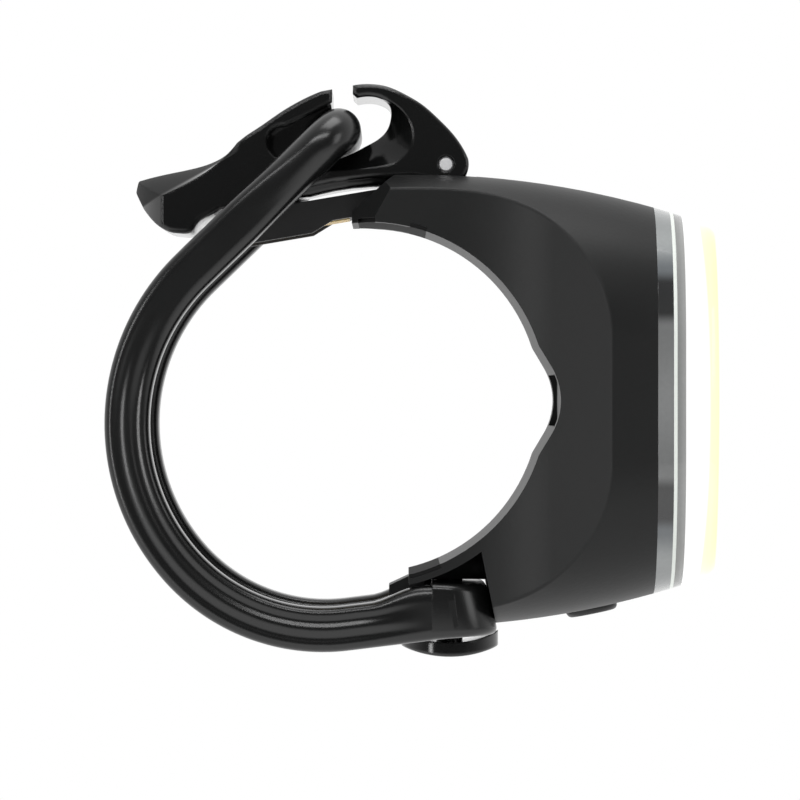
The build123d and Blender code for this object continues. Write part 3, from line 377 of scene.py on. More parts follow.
@dataclass(frozen=True)
class Finish:
    """A surface: its colour, its gloss, its fine pattern and its soft edges.

    The pattern's height and the edges' radius are in millimetres.
    """

    name: str
    colour: Colour
    roughness: float
    weave: Weave = Weave.GRAIN
    scale: float = 2200.0
    height: float = 0.01
    mottle: float = 0.05
    metallic: float = 0.0
    specular: float = 0.5
    coat: float = 0.0
    coat_roughness: float = 0.06
    edge: float = 0.12
    edge_samples: int = 4

    def material(self) -> bpy.types.Material:
        """Builds the material.

        Returns:
            The material, with its pattern in colour, roughness and bump.
        """
        material = bpy.data.materials.new(self.name)
        material.use_nodes = True
        nodes = NodeTree(material.node_tree)
        shader = material.node_tree.nodes["Principled BSDF"]
        shader.inputs["Metallic"].default_value = self.metallic
        shader.inputs["Specular IOR Level"].default_value = self.specular
        shader.inputs["Coat Weight"].default_value = self.coat
        shader.inputs["Coat Roughness"].default_value = self.coat_roughness
        surface = nodes.add("Group", node_tree=surface_group(self.weave))
        surface.inputs["Colour"].default_value = (*self.colour, 1.0)
        surface.inputs["Roughness"].default_value = self.roughness
        surface.inputs["Mottle"].default_value = self.mottle
        surface.inputs["Scale"].default_value = self.scale
        place = nodes.add("TexCoord").outputs["Object"]
        nodes.link(place, surface.inputs["Place"])
        nodes.link(self.base_colour(nodes, place, surface), shader.inputs["Base Color"])
        nodes.link(self.roughness_at(nodes, place, surface), shader.inputs["Roughness"])
        soft = nodes.add("Bevel", samples=self.edge_samples)
        soft.inputs["Radius"].default_value = self.edge * MM
        bump = nodes.add("Bump")
        bump.inputs["Distance"].default_value = self.height * MM
        nodes.link(surface.outputs["Height"], bump.inputs["Height"])
        nodes.link(soft.outputs["Normal"], bump.inputs["Normal"])
        nodes.link(bump.outputs["Normal"], shader.inputs["Normal"])
        self.finish_shader(nodes, place, shader)
        return material

    def base_colour(
        self, nodes: NodeTree, place: bpy.types.NodeSocket, surface: bpy.types.Node
    ) -> bpy.types.NodeSocket:
        """Gives the socket of the base colour."""
        return surface.outputs["Colour"]

    def roughness_at(
        self, nodes: NodeTree, place: bpy.types.NodeSocket, surface: bpy.types.Node
    ) -> bpy.types.NodeSocket:
        """Gives the socket of the roughness."""
        return surface.outputs["Roughness"]

    def finish_shader(
        self, nodes: NodeTree, place: bpy.types.NodeSocket, shader: bpy.types.Node
    ) -> None:
        """Leaves a plain surface as it is."""


@dataclass(frozen=True)
class GripGloss(Finish):
    """A gloss moulding with a satin patch above a slanting line, where the thumb rests."""

    satin: float = 0.75
    line_slope: float = 0.567
    line_rise: float = 31.75
    line_fade: float = 0.3
    end_x: float = -12.6
    end_fade: float = 0.9

    def roughness_at(
        self, nodes: NodeTree, place: bpy.types.NodeSocket, surface: bpy.types.Node
    ) -> bpy.types.NodeSocket:
        """Roughens the patch.

        Args:
            nodes: The material's tree.
            place: The socket of the place on the piece.
            surface: The surface group.

        Returns:
            The socket of the roughness.
        """
        axes = nodes.axes(place)
        line = nodes.math("MULTIPLY", axes["X"], self.line_slope)
        above = nodes.math("SUBTRACT", nodes.math("SUBTRACT", axes["Z"], line), self.line_rise * MM)
        above = nodes.math("DIVIDE", above, self.line_fade * MM, clamp=True)
        left = nodes.math("SUBTRACT", self.end_x * MM, axes["X"])
        left = nodes.math("DIVIDE", left, self.end_fade * MM, clamp=True)
        patch = nodes.math("MULTIPLY", nodes.math("MULTIPLY", above, left), self.satin)
        return nodes.math("ADD", surface.outputs["Roughness"], patch, clamp=True)


@dataclass(frozen=True)
class Smoke(Finish):
    """An opaque band toned like smoky plastic, with painted shade and painted reflection that
    change with height, darker where parts are behind it.
    """

    painted_light_and_shade: Ramp = ()

    def base_colour(
        self, nodes: NodeTree, place: bpy.types.NodeSocket, surface: bpy.types.Node
    ) -> bpy.types.NodeSocket:
        """Paints shade and reflection into the colour by the height above or below the middle.

        Args:
            nodes: The material's tree.
            place: The socket of the place on the piece.
            surface: The surface group.

        Returns:
            The shaded colour's socket.
        """
        # painted shade and reflection: a ramp by height darkens the band over the parts behind it
        # and lightens it elsewhere
        height = nodes.math("ABSOLUTE", nodes.axes(place)["Z"], 0.0)
        return nodes.multiply(nodes.ramp(height, self.painted_light_and_shade, MM), surface.outputs["Colour"])


@dataclass(frozen=True)
class Clear(Finish):
    """Clear plastic with painted light running in its walls, from white to yellow towards the
    front, and where given a painted shade of what is seen through it.
    """

    glow: Ramp = ()
    tone_and_shade: Ramp = ()
    painted_yellow_glint: Ramp = ()
    bow: float = 0.8
    bow_height: float = 18.0
    strength: float = 1.0
    transmission: float = 1.0
    index: float = 1.49

    def along_beam(
        self, nodes: NodeTree, place: bpy.types.NodeSocket, stops: Ramp, bow: float
    ) -> bpy.types.NodeSocket:
        """Gives the colour of a ramp that runs along the beam.

        Args:
            nodes: The material's tree.
            place: The socket of the place on the piece.
            stops: The ramp, with its places in millimetres.
            bow: How far back the ramp has moved at the bow's height, in millimetres.

        Returns:
            The colour's socket.
        """
        axes = nodes.axes(place)
        rate = bow * MM / (self.bow_height * MM) ** 2
        square = nodes.math("MULTIPLY", axes["Z"], axes["Z"])
        way = nodes.math("ADD", axes["X"], nodes.math("MULTIPLY", square, rate))
        return nodes.ramp(way, stops, MM)

    def base_colour(
        self, nodes: NodeTree, place: bpy.types.NodeSocket, surface: bpy.types.Node
    ) -> bpy.types.NodeSocket:
        """Paints shade over what is seen through the plastic.

        Args:
            nodes: The material's tree.
            place: The socket of the place on the piece.
            surface: The surface group.

        Returns:
            The tint's socket.
        """
        if not self.tone_and_shade:
            return surface.outputs["Colour"]
        # painted shade: a ramp along the beam darkens the colour where the inside shows through
        tone = self.along_beam(nodes, place, self.tone_and_shade, 0.0)
        return nodes.multiply(tone, surface.outputs["Colour"])

    def finish_shader(
        self, nodes: NodeTree, place: bpy.types.NodeSocket, shader: bpy.types.Node
    ) -> None:
        """Adds the light in the walls.

        Args:
            nodes: The material's tree.
            place: The socket of the place on the piece.
            shader: The Principled BSDF.
        """
        shader.inputs["Transmission Weight"].default_value = self.transmission
        shader.inputs["IOR"].default_value = self.index
        shader.inputs["Emission Strength"].default_value = self.strength
        # painted glow along the beam, with painted yellow glints towards the front
        tone = self.along_beam(nodes, place, self.glow, 0.0)
        if self.painted_yellow_glint:
            tone = nodes.multiply(tone, self.along_beam(nodes, place, self.painted_yellow_glint, self.bow))
        nodes.link(tone, shader.inputs["Emission Color"])


@dataclass(frozen=True)
class Glow(Finish):
    """A lit optic with a bright spot over each lamp behind it.

    The pitch of the lamps is in millimetres and the spot's radius is a share of it.
    """

    lit: Colour = (1.0, 1.0, 0.9)
    dim: Colour = (0.72, 0.72, 0.648)
    strength: float = 1.0
    pitch: float = 5.2
    spot: float = 0.5

    def finish_shader(
        self, nodes: NodeTree, place: bpy.types.NodeSocket, shader: bpy.types.Node
    ) -> None:
        """Adds the light, brighter over the lamps.

        Args:
            nodes: The material's tree.
            place: The socket of the place on the piece.
            shader: The Principled BSDF.
        """
        shader.inputs["Emission Strength"].default_value = self.strength
        size = 1.0 / (self.pitch * MM)
        centre = nodes.add("Mapping")
        centre.inputs["Scale"].default_value = (0.0, size, size)
        centre.inputs["Location"].default_value = (0.5, 0.5, 0.5)
        cells = nodes.add("TexVoronoi", voronoi_dimensions="3D", feature="F1")
        cells.inputs["Randomness"].default_value = 0.0
        cells.inputs["Scale"].default_value = 1.0
        nodes.link(place, centre.inputs["Vector"])
        nodes.link(centre.outputs["Vector"], cells.inputs["Vector"])
        tone = nodes.ramp(cells.outputs["Distance"], ((0.0, self.lit), (self.spot, self.dim)))
        nodes.link(tone, shader.inputs["Emission Color"])


BODY_BLACK = Finish("body_black", (0.0085, 0.0088, 0.0088), 0.45, height=0.012, specular=0.24)
GRIP_RUBBER = Finish(
    "grip_rubber", (0.008, 0.008, 0.008), 0.7, scale=1400.0, height=0.02, specular=0.1
)
STRAP_SILICONE = Finish(
    "strap_silicone", (0.005, 0.0052, 0.0052), 0.24, scale=1500.0, height=0.002, edge=0.15
)
LEVER_GLOSS = GripGloss(
    "lever_gloss", (0.005, 0.0052, 0.0052), 0.1, scale=900.0, height=0.001, edge=0.3
)
PIN_STEEL = Finish(
    "pin_steel", (0.8, 0.8, 0.81), 0.5, Weave.BRUSHED, 5200.0, 0.004, metallic=0.55, edge=0.06
)
TONGUE_BLACK = Finish("tongue_black", (0.016, 0.016, 0.0165), 0.36, height=0.006)
CONTACT_GOLD = Finish(
    "contact_gold", (0.86, 0.63, 0.24), 0.22, Weave.BRUSHED, 4200.0, 0.002, metallic=1.0, edge=0.03
)
BOARD_GREEN = Finish(
    "board_green", (0.012, 0.11, 0.045), 0.35, Weave.TRACES, 240.0, 0.03, coat=0.3, edge=0.05
)
LED_YELLOW = Finish("led_yellow", (0.92, 0.76, 0.2), 0.4, scale=3000.0, edge=0.1)
PAD_GREY = Finish("pad_grey", (0.42, 0.44, 0.47), 0.7, scale=1800.0, height=0.02)
SPREADER_ALUMINIUM = Finish(
    "spreader_aluminium", (0.7, 0.71, 0.72), 0.32, Weave.BRUSHED, 3600.0, 0.006, metallic=1.0
)
CELL_SILVER = Finish(
    "cell_silver", (0.58, 0.59, 0.61), 0.3, scale=500.0, height=0.05, metallic=0.8, edge=0.3
)
FOAM_GREY = Finish("foam_grey", (0.11, 0.11, 0.11), 0.85, scale=2600.0, height=0.12, mottle=0.2)
LEAD_RED = Finish("lead_red", (0.5, 0.018, 0.018), 0.35, scale=1200.0, height=0.004)
FLEX_AMBER = Finish("flex_amber", (0.42, 0.17, 0.03), 0.3, Weave.TRACES, 900.0, 0.01, edge=0.03)
BUTTON_RUBBER = Finish(
    "button_rubber", (0.013, 0.013, 0.0135), 0.42, scale=1700.0, height=0.012,
    specular=0.35, edge=0.2,
)
REFLECTOR_WHITE = Finish("reflector_white", (0.88, 0.88, 0.87), 0.25, scale=1200.0, height=0.004)
# painted glow: the seal's white look is partly emission
SEAL_WHITE = Clear(
    "seal_white", (0.5, 0.52, 0.5), 0.3, transmission=0.0, strength=0.42,
    glow=((29.7, (0.75, 0.8, 0.74)), (30.1, (0.75, 0.8, 0.74))),
)
# painted shade and reflection by height, in the ramp below
LENS_SMOKE = Smoke(
    "lens_smoke", (0.9, 0.92, 0.92), 0.16, coat=0.4, height=0.002, edge=0.1,
    painted_light_and_shade=(
        (0.0, (0.25, 0.25, 0.25)), (7.2, (0.19, 0.19, 0.19)), (8.6, (0.03, 0.03, 0.03)),
        (11.4, (0.022, 0.022, 0.023)), (12.8, (0.14, 0.15, 0.16)), (15.6, (0.33, 0.34, 0.34)),
        (17.4, (0.26, 0.27, 0.27)), (19.2, (0.32, 0.33, 0.33)),
    ),
)
LENS_CLEAR = Clear(
    "lens_clear", (0.96, 0.97, 0.96), 0.06, height=0.001, edge=0.1, transmission=0.25,
    # painted shade of the inside seen through the plastic
    tone_and_shade=(
        (30.1, (0.26, 0.26, 0.26)), (30.9, (0.34, 0.34, 0.34)), (31.05, (0.02, 0.02, 0.02)),
        (34.7, (0.02, 0.02, 0.02)),
    ),
    glow=(
        (30.1, (0.03, 0.03, 0.03)), (30.9, (0.06, 0.06, 0.06)), (31.0, (1.0, 1.0, 1.0)),
        (34.7, (1.0, 1.0, 1.0)),
    ),
    # painted yellow glints at the front edge
    painted_yellow_glint=(
        (32.0, (1.0, 1.0, 1.0)), (33.25, (1.0, 1.0, 0.96)), (33.45, (0.98, 1.0, 0.64)),
        (34.7, (0.98, 1.0, 0.52)), (35.4, (0.98, 1.0, 0.34)),
    ),
)
DIFFUSER_LIT = Glow("diffuser_lit", (0.9, 0.9, 0.86), 0.4, scale=1200.0, height=0.004)
FLOOR_WHITE = Finish("floor_white", (0.86, 0.86, 0.86), 0.8, scale=60.0, mottle=0.01)

NODE_FINISHES: dict[str, Finish] = {
    "housing": BODY_BLACK, "upper_grip_pad": GRIP_RUBBER, "lower_grip_pad": GRIP_RUBBER,
    "strap_stud": LEVER_GLOSS, "lever": LEVER_GLOSS, "lever_pin": PIN_STEEL,
    "usb_tongue": TONGUE_BLACK, "usb_contacts": CONTACT_GOLD, "lens_frame": LENS_SMOKE,
    "lens_seal": SEAL_WHITE, "lens_cover": LENS_CLEAR, "diffuser": DIFFUSER_LIT,
    "reflector": REFLECTOR_WHITE, "led_board": BOARD_GREEN, "leds": LED_YELLOW,
    "thermal_pad": PAD_GREY, "heat_spreader": SPREADER_ALUMINIUM, "frame_screws": PIN_STEEL,
    "main_board": BOARD_GREEN, "battery_cell": CELL_SILVER, "battery_foam": FOAM_GREY,
    "battery_leads": LEAD_RED, "flex_cable": FLEX_AMBER, "power_button": BUTTON_RUBBER,
    "switch_plunger": PAD_GREY, "button_seal": GRIP_RUBBER, "tactile_switch": TONGUE_BLACK,
}


@dataclass
class PaintShelf:
    """The materials made so far, one for each finish."""

    made: dict[str, bpy.types.Material] = field(default_factory=dict)

    def paint(self, piece: bpy.types.Object, finish: Finish) -> None:
        """Gives a piece one finish and no other.

        Args:
            piece: The piece.
            finish: Its finish.
        """
        if finish.name not in self.made:
            self.made[finish.name] = finish.material()
        piece.data.materials.clear()
        piece.data.materials.append(self.made[finish.name])


@dataclass
class Shell:
    """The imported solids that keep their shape, each given its own finish."""

    paints: PaintShelf
    finishes: dict[str, Finish] = field(default_factory=lambda: dict(NODE_FINISHES))

    def dress(self, nodes: dict[str, bpy.types.Object]) -> None:
        """Paints the solids.

        Args:
            nodes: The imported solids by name.
        """
        for name, finish in self.finishes.items():
            self.paints.paint(nodes[name], finish)
            LOG.info("dressed %s in %s", name, finish.name)


@dataclass
class Strap:
    """The silicone loop: two fluted legs, a round bar in the lever's hook and a buttonhole pad.

    The ring and the bar are given by their centres, and a flute by its middle, its half width
    and its depth. A fade or a rise is given by where it starts and where it ends. The give, two
    heights, is not used.
    """

    paints: PaintShelf
    leg_y: float = 12.3
    width: float = 4.6
    thickness: float = 4.4
    corner: float = 1.0
    corner_steps: int = 6
    face_steps: int = 24
    side_steps: int = 4
    face_slack: float = 0.05
    flutes: tuple[tuple[float, float, float], ...] = ((0.85, 0.82, 0.19), (-0.84, 0.8, 0.26))
    ring: tuple[float, float] = (-2.62, -2.28)
    ring_radius: float = 20.98
    ring_end: float = 221.0
    ring_steps: int = 26
    ring_fade: tuple[float, float] = (146.0, 176.0)
    fade_steps: int = 24
    heel_radius: float = 18.6
    heel_steps: int = 32
    toe_slope: float = 7.0
    toe_x: float = 8.7
    toe_steps: int = 18
    toe_fade: tuple[float, float] = (-1.5, 6.1)
    toe_rise: tuple[float, float] = (0.5, 6.2)
    toe_top: float = -18.12
    bar: tuple[float, float] = BAR_CENTRE
    bar_radius: float = 2.2
    bar_steps: int = 2
    bend_radius: float = 2.9
    bend_steps: int = 10
    neck: float = 11.0
    run_steps: int = 22
    pad_start: float = 6.3
    pad_end: float = 11.74
    pad_lean: float = 0.2
    pad_top_start: float = -17.85
    pad_top: float = -18.1
    pad_low: float = -23.4
    pad_rise: float = 0.45
    pad_half: float = 14.61
    pad_corner: float = 4.2
    pad_corner_steps: int = 12
    pad_edge: float = 0.8
    pad_edge_steps: int = 5
    pad_front_band: float = 0.5
    pad_slack: float = 0.1
    hole_x: float = 8.1
    hole_radius: float = 1.32
    hole_sides: int = 48
    hole_excess: float = 2.0
    merge_gap: float = 0.01
    weld_gap: float = 0.003
    smooth_angle: float = 38.0
    give: tuple[float, float] = (-16.0, 23.0)

    def build(self) -> bpy.types.Object:
        """Builds the strap.

        Returns:
            The strap, in place.
        """
        loop = self.sweep_leg()
        apply_modifier(
            loop, "MIRROR", use_axis=(False, True, False), merge_threshold=self.merge_gap * MM
        )
        pad = self.block_pad()
        for cutter, operation in ((pad, "UNION"), (self.button_hole(), "DIFFERENCE")):
            apply_modifier(loop, "BOOLEAN", object=cutter, operation=operation, solver="EXACT")
            bpy.data.objects.remove(cutter)
        make_active(loop)
        bpy.ops.object.mode_set(mode="EDIT")
        bpy.ops.mesh.select_all(action="SELECT")
        bpy.ops.mesh.remove_doubles(threshold=self.weld_gap * MM)
        bpy.ops.mesh.normals_make_consistent(inside=False)
        bpy.ops.object.mode_set(mode="OBJECT")
        bpy.ops.object.shade_smooth_by_angle(angle=math.radians(self.smooth_angle))
        self.paints.paint(loop, STRAP_SILICONE)
        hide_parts("strap")
        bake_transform(loop)
        return loop

    def run_to_bar(self) -> tuple[float, Vector]:
        """Finds the straight run from the ring to the bar.

        Returns:
            The angle where the run leaves the ring in degrees, and the run in millimetres.
        """
        across, up = self.bar[0] - self.ring[0], self.bar[1] - self.ring[1]
        reach = math.hypot(across, up)
        angle = math.degrees(math.acos(across / reach) + math.acos(self.ring_radius / reach))
        return angle, Vector((self.bar[0], 0.0, self.bar[1])) - self.on_ring(angle)

    def from_ring(self, angle: float) -> Vector:
        """Gives the direction out from the ring's centre, at degrees up from the beam."""
        turn = math.radians(angle)
        return Vector((math.cos(turn), 0.0, math.sin(turn)))

    def on_ring(self, angle: float) -> Vector:
        """Gives a place on the ring's centre line, at degrees up from the beam."""
        centre = Vector((self.ring[0], 0.0, self.ring[1]))
        return centre + self.ring_radius * self.from_ring(angle)

    def leg_outline(self) -> list[tuple[float, float, float]]:
        """Draws the leg's section.

        Returns:
            Places across the strap and out from the handlebar, with the depth of the flutes.
        """
        inner_width = self.width / 2 - self.corner
        inner_thick = self.thickness / 2 - self.corner
        points: Outline = []
        corners = (
            (1, -1, -90.0, self.face_steps, inner_thick),
            (1, 1, 0.0, self.side_steps, inner_width),
            (-1, 1, 90.0, self.side_steps, inner_thick),
            (-1, -1, 180.0, self.side_steps, inner_width),
        )
        for side_y, side_t, start, steps, half_side in corners:
            for step in range(self.corner_steps + 1):
                turn = math.radians(start + 90.0 * step / self.corner_steps)
                points.append(
                    (
                        side_y * inner_width + self.corner * math.cos(turn),
                        side_t * inner_thick + self.corner * math.sin(turn),
                    )
                )
            turn = math.radians(start + 90.0)
            along = Vector((-math.sin(turn), math.cos(turn)))
            last = Vector(points[-1])
            for step in range(1, steps):
                points.append(tuple(last + along * (2.0 * half_side * step / steps)))
        return [(across, out, self.flute_depth(across, out)) for across, out in points]

    def flute_depth(self, across: float, out: float) -> float:
        """Gives the depth of the flutes at a place of the section.

        Args:
            across: The place across the strap.
            out: The place out from the handlebar.

        Returns:
            The depth, which is 0 except on the leg's outer side.
        """
        if across < self.width / 2 - self.face_slack:
            return 0.0
        depth = 0.0
        for middle, half, sink in self.flutes:
            share = abs(out - middle) / half
            if share < 1.0:
                depth += sink * (0.5 + 0.5 * math.cos(math.pi * share))
        return depth

    def section(self, flute: float, roundness: float = 0.0, swell: float = 0.0) -> Outline:
        """Draws the section at one station.

        Args:
            flute: How deep the flutes are, as a share.
            roundness: 0 for the leg's own section, 1 for the bar's circle.
            swell: How far the inner face moves towards the handlebar.

        Returns:
            Places across the strap and out from the handlebar.
        """
        points: Outline = []
        for across, out, sink in self.leg_outline():
            across -= sink * flute
            turn = math.atan2(out, across)
            across += (self.bar_radius * math.cos(turn) - across) * roundness
            out += (self.bar_radius * math.sin(turn) - out) * roundness
            if out < 0.0:
                out *= 1.0 + 2.0 * swell / self.thickness
            points.append((across, out))
        return points

    def sweep_leg(self) -> bpy.types.Object:
        """Sweeps one leg from the pad round the handlebar to the middle of the bar.

        Returns:
            Half of the loop, open at the middle of the bar.
        """
        outline = self.section(1.0)
        first = self.ring_fade[1]
        deselect_all()
        bpy.ops.mesh.primitive_circle_add(vertices=len(outline), radius=self.width / 2 * MM)
        leg = bpy.context.active_object
        leg.name = leg.data.name = "strap_loop"
        rank = leg.data.attributes.new("rank", "INT", "POINT")
        middle, away = self.on_ring(first) + ACROSS * self.leg_y, self.from_ring(first)
        for index, (vertex, (across, out)) in enumerate(zip(leg.data.vertices, outline)):
            vertex.co = (middle + ACROSS * across + away * out) * MM
            rank.data[index].value = index
        bpy.ops.object.mode_set(mode="EDIT")
        self.sweep_down(first)
        self.sweep_toe(leg)
        bpy.ops.mesh.select_mode(type="VERT")
        bpy.ops.mesh.select_all(action="DESELECT")
        mesh = bmesh.from_edit_mesh(leg.data)
        mesh.verts.ensure_lookup_table()
        for index in range(len(outline)):
            mesh.verts[index].select_set(True)
        mesh.select_flush_mode()
        bmesh.update_edit_mesh(leg.data)
        self.sweep_up(leg, first)
        bpy.ops.object.mode_set(mode="OBJECT")
        leg.data.attributes.remove(leg.data.attributes["rank"])
        return leg

    def sweep_down(self, first: float) -> None:
        """Spins the open section down round the handlebar and round the heel.

        Args:
            first: Where the ring starts, in degrees.
        """
        bpy.ops.mesh.select_all(action="SELECT")
        bpy.ops.mesh.spin(
            steps=self.ring_steps,
            angle=math.radians(self.ring_end - first),
            center=Vector((self.ring[0], 0.0, self.ring[1])) * MM,
            axis=ACROSS,
        )
        bpy.ops.mesh.spin(
            steps=self.heel_steps,
            angle=math.radians(270.0 + self.toe_slope - self.ring_end),
            center=self.heel_centre() * MM,
            axis=ACROSS,
        )

    def heel_centre(self) -> Vector:
        """Gives the centre of the heel's bend, which goes on from the ring without a kink."""
        return self.on_ring(self.ring_end) - self.heel_radius * self.from_ring(self.ring_end)

    def sweep_toe(self, leg: bpy.types.Object) -> None:
        """Runs the leg straight to the pad, swells it up to the lip and closes its end.

        Args:
            leg: The leg in edit mode, with the open end at the heel selected.
        """
        slope = math.radians(self.toe_slope)
        outwards = self.from_ring(270.0 + self.toe_slope)
        start = self.heel_centre() + self.heel_radius * outwards
        reach = self.toe_x - start.x
        for step in range(1, self.toe_steps + 1):
            run = reach * step / self.toe_steps
            place = start + Vector((run, self.leg_y, run * math.tan(slope)))
            flute = 1.0 - smooth_share(place.x, *self.toe_fade)
            natural_top = place.z + self.thickness / 2 * math.cos(slope)
            swell = (self.toe_top - natural_top) * smooth_share(place.x, *self.toe_rise)
            self.add_station(leg, self.section(flute, swell=swell), place, outwards)
        bpy.ops.mesh.edge_face_add()

    def sweep_up(self, leg: bpy.types.Object, first: float) -> None:
        """Takes the leg up the ring without its flutes, rounds it and bends it into the bar.

        Args:
            leg: The leg in edit mode, with the open end on the ring selected.
            first: Where the ring starts, in degrees.
        """
        angle, run = self.run_to_bar()
        shift = ACROSS * self.leg_y
        for step in range(1, self.fade_steps + 1):
            turn = first + (angle - first) * step / self.fade_steps
            outline = self.section(smooth_share(turn, *self.ring_fade))
            self.add_station(leg, outline, self.on_ring(turn) + shift, self.from_ring(turn))
        direction = run.normalized()
        outwards = Vector((-direction.z, 0.0, direction.x))
        start = self.on_ring(angle) + shift
        bend_start = run.length - self.bend_radius
        for step in range(1, self.run_steps + 1):
            along = bend_start * step / self.run_steps
            roundness = smooth_share(along, bend_start - self.neck, bend_start)
            self.add_station(leg, self.section(0.0, roundness), start + direction * along, outwards)
        hub = start + direction * bend_start - ACROSS * self.bend_radius
        bpy.ops.mesh.spin(
            steps=self.bend_steps, angle=math.radians(90.0), center=hub * MM, axis=outwards
        )
        half_bar = Vector((0.0, self.bend_radius - self.leg_y, 0.0)) * MM
        for _ in range(self.bar_steps):
            bpy.ops.mesh.extrude_edges_move(
                TRANSFORM_OT_translate={"value": half_bar / self.bar_steps}
            )

    def add_station(
        self, leg: bpy.types.Object, outline: Outline, centre: Vector, outwards: Vector
    ) -> None:
        """Extrudes the open end once and sets it to a section.

        Args:
            leg: The leg in edit mode.
            outline: The new section.
            centre: The section's centre in millimetres.
            outwards: The direction away from the handlebar.
        """
        bpy.ops.mesh.extrude_edges_move()
        mesh = bmesh.from_edit_mesh(leg.data)
        rank = mesh.verts.layers.int["rank"]
        for vertex in (vertex for vertex in mesh.verts if vertex.select):
            across, out = outline[vertex[rank]]
            vertex.co = (centre + ACROSS * across + outwards * out) * MM
        bmesh.update_edit_mesh(leg.data)

    def block_pad(self) -> bpy.types.Object:
        """Shapes the pad from a block: a leaning front, round plan corners and soft edges.

        Returns:
            The pad.
        """
        deselect_all()
        bpy.ops.mesh.primitive_cube_add(size=1.0)
        pad = bpy.context.active_object
        height = self.pad_top - self.pad_low
        for vertex in pad.data.vertices:
            front, high = vertex.co.x > 0, vertex.co.z > 0
            x = self.pad_end if front else self.pad_start
            z = self.pad_top_at(x) if high else self.pad_low
            if front and not high:
                x += self.pad_lean * height
                z += self.pad_rise
            vertex.co = Vector((x, self.pad_half * (1 if vertex.co.y > 0 else -1), z)) * MM
        make_active(pad)
        bpy.ops.object.mode_set(mode="EDIT")
        select_edges(
            pad,
            lambda spot: spot.x > self.pad_end - self.pad_slack
            and abs(spot.y) > self.pad_half - self.pad_slack,
        )
        bpy.ops.mesh.bevel(
            offset=self.pad_corner * MM, segments=self.pad_corner_steps, affect="EDGES"
        )
        slack = self.pad_slack / 2
        low_front = self.pad_low + self.pad_rise
        self.soften_rim(pad, lambda spot: spot.z > self.pad_top_at(spot.x) - slack)
        self.soften_rim(pad, lambda spot: spot.z < low_front + slack)
        bpy.ops.object.mode_set(mode="OBJECT")
        return pad

    def soften_rim(self, pad: bpy.types.Object, level: Callable[[Vector], bool]) -> None:
        """Bevels the pad's front and side edges at one level.

        Args:
            pad: The pad in edit mode.
            level: Tells whether a place in millimetres is at the level.
        """
        side = self.pad_half - self.pad_corner
        front = self.pad_end - self.pad_front_band
        select_edges(
            pad,
            lambda spot: spot.x > self.pad_start + self.pad_slack
            and level(spot)
            and (abs(spot.y) > side or spot.x > front),
        )
        bpy.ops.mesh.bevel(offset=self.pad_edge * MM, segments=self.pad_edge_steps, affect="EDGES")

    def pad_top_at(self, x: float) -> float:
        """Gives the height of the pad's top, which falls a little towards the front."""
        share = min(1.0, (x - self.pad_start) / (self.pad_end - self.pad_start))
        return self.pad_top + (self.pad_top_start - self.pad_top) * (1.0 - share)

    def button_hole(self) -> bpy.types.Object:
        """Makes the cutter of the hole that buttons over the stud.

        Returns:
            The cutter.
        """
        deselect_all()
        bpy.ops.mesh.primitive_cylinder_add(
            vertices=self.hole_sides,
            radius=self.hole_radius * MM,
            depth=(self.pad_top - self.pad_low + self.hole_excess) * MM,
            location=Vector((self.hole_x, 0.0, (self.pad_top + self.pad_low) / 2)) * MM,
        )
        return bpy.context.active_object


@dataclass
class LeverCore:
    """The lever's inner web: it closes the slot behind the strap's bar and backs its floor.

    The outline goes on from the end of the bar's seat, which runs round the bar between two
    angles in degrees.
    """

    paints: PaintShelf
    half_width: float = 5.6
    edge: float = 0.3
    edge_steps: int = 4
    edge_slack: float = 0.01
    bar: tuple[float, float] = BAR_CENTRE
    seat_radius: float = 2.32
    seat: tuple[float, float] = (108.0, 232.0)
    seat_steps: int = 16
    smooth_angle: float = 40.0
    outline: tuple[tuple[float, float], ...] = (
        (-3.9, 23.2), (1.2, 22.8), (2.3, 22.4), (2.35, 21.75), (1.9, 21.42), (0.2, 21.3),
        (-1.6, 21.14), (-3.3, 20.88), (-4.6, 20.6), (-5.8, 20.3), (-6.9, 20.2), (-8.2, 20.5),
        (-8.8, 21.6), (-10.5, 23.9), (-10.7, 26.1), (-9.8, 27.1), (-8.2, 27.8), (-5.0, 29.4),
        (-3.75, 29.75),
    )

    def places(self) -> Outline:
        """Draws the web's side, from the bar's seat on.

        Returns:
            Its corners, along the beam and up.
        """
        first, last = self.seat
        corners: Outline = []
        for step in range(self.seat_steps + 1):
            turn = math.radians(first + (last - first) * step / self.seat_steps)
            across, up = math.cos(turn), math.sin(turn)
            corners.append(
                (self.bar[0] + self.seat_radius * across, self.bar[1] + self.seat_radius * up)
            )
        return corners + list(self.outline)

    def build(self) -> bpy.types.Object:
        """Builds the web.

        Returns:
            The web, riding on the lever.
        """
        places = self.places()
        deselect_all()
        bpy.ops.mesh.primitive_circle_add(vertices=len(places), radius=MM, fill_type="NGON")
        web = bpy.context.active_object
        web.name = web.data.name = "lever_web"
        for vertex, (x, z) in zip(web.data.vertices, places):
            vertex.co = Vector((x, -self.half_width, z)) * MM
        bpy.ops.object.mode_set(mode="EDIT")
        bpy.ops.mesh.select_all(action="SELECT")
        bpy.ops.mesh.extrude_region_move(
            TRANSFORM_OT_translate={"value": ACROSS * (2.0 * self.half_width * MM)}
        )
        select_edges(web, lambda spot: abs(spot.y) > self.half_width - self.edge_slack)
        bpy.ops.mesh.bevel(offset=self.edge * MM, segments=self.edge_steps, affect="EDGES")
        bpy.ops.mesh.select_all(action="SELECT")
        bpy.ops.mesh.normals_make_consistent(inside=False)
        bpy.ops.object.mode_set(mode="OBJECT")
        bpy.ops.object.shade_smooth_by_angle(angle=math.radians(self.smooth_angle))
        self.paints.paint(web, LEVER_GLOSS)
        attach(web, Body.LEVER.value)
        return web


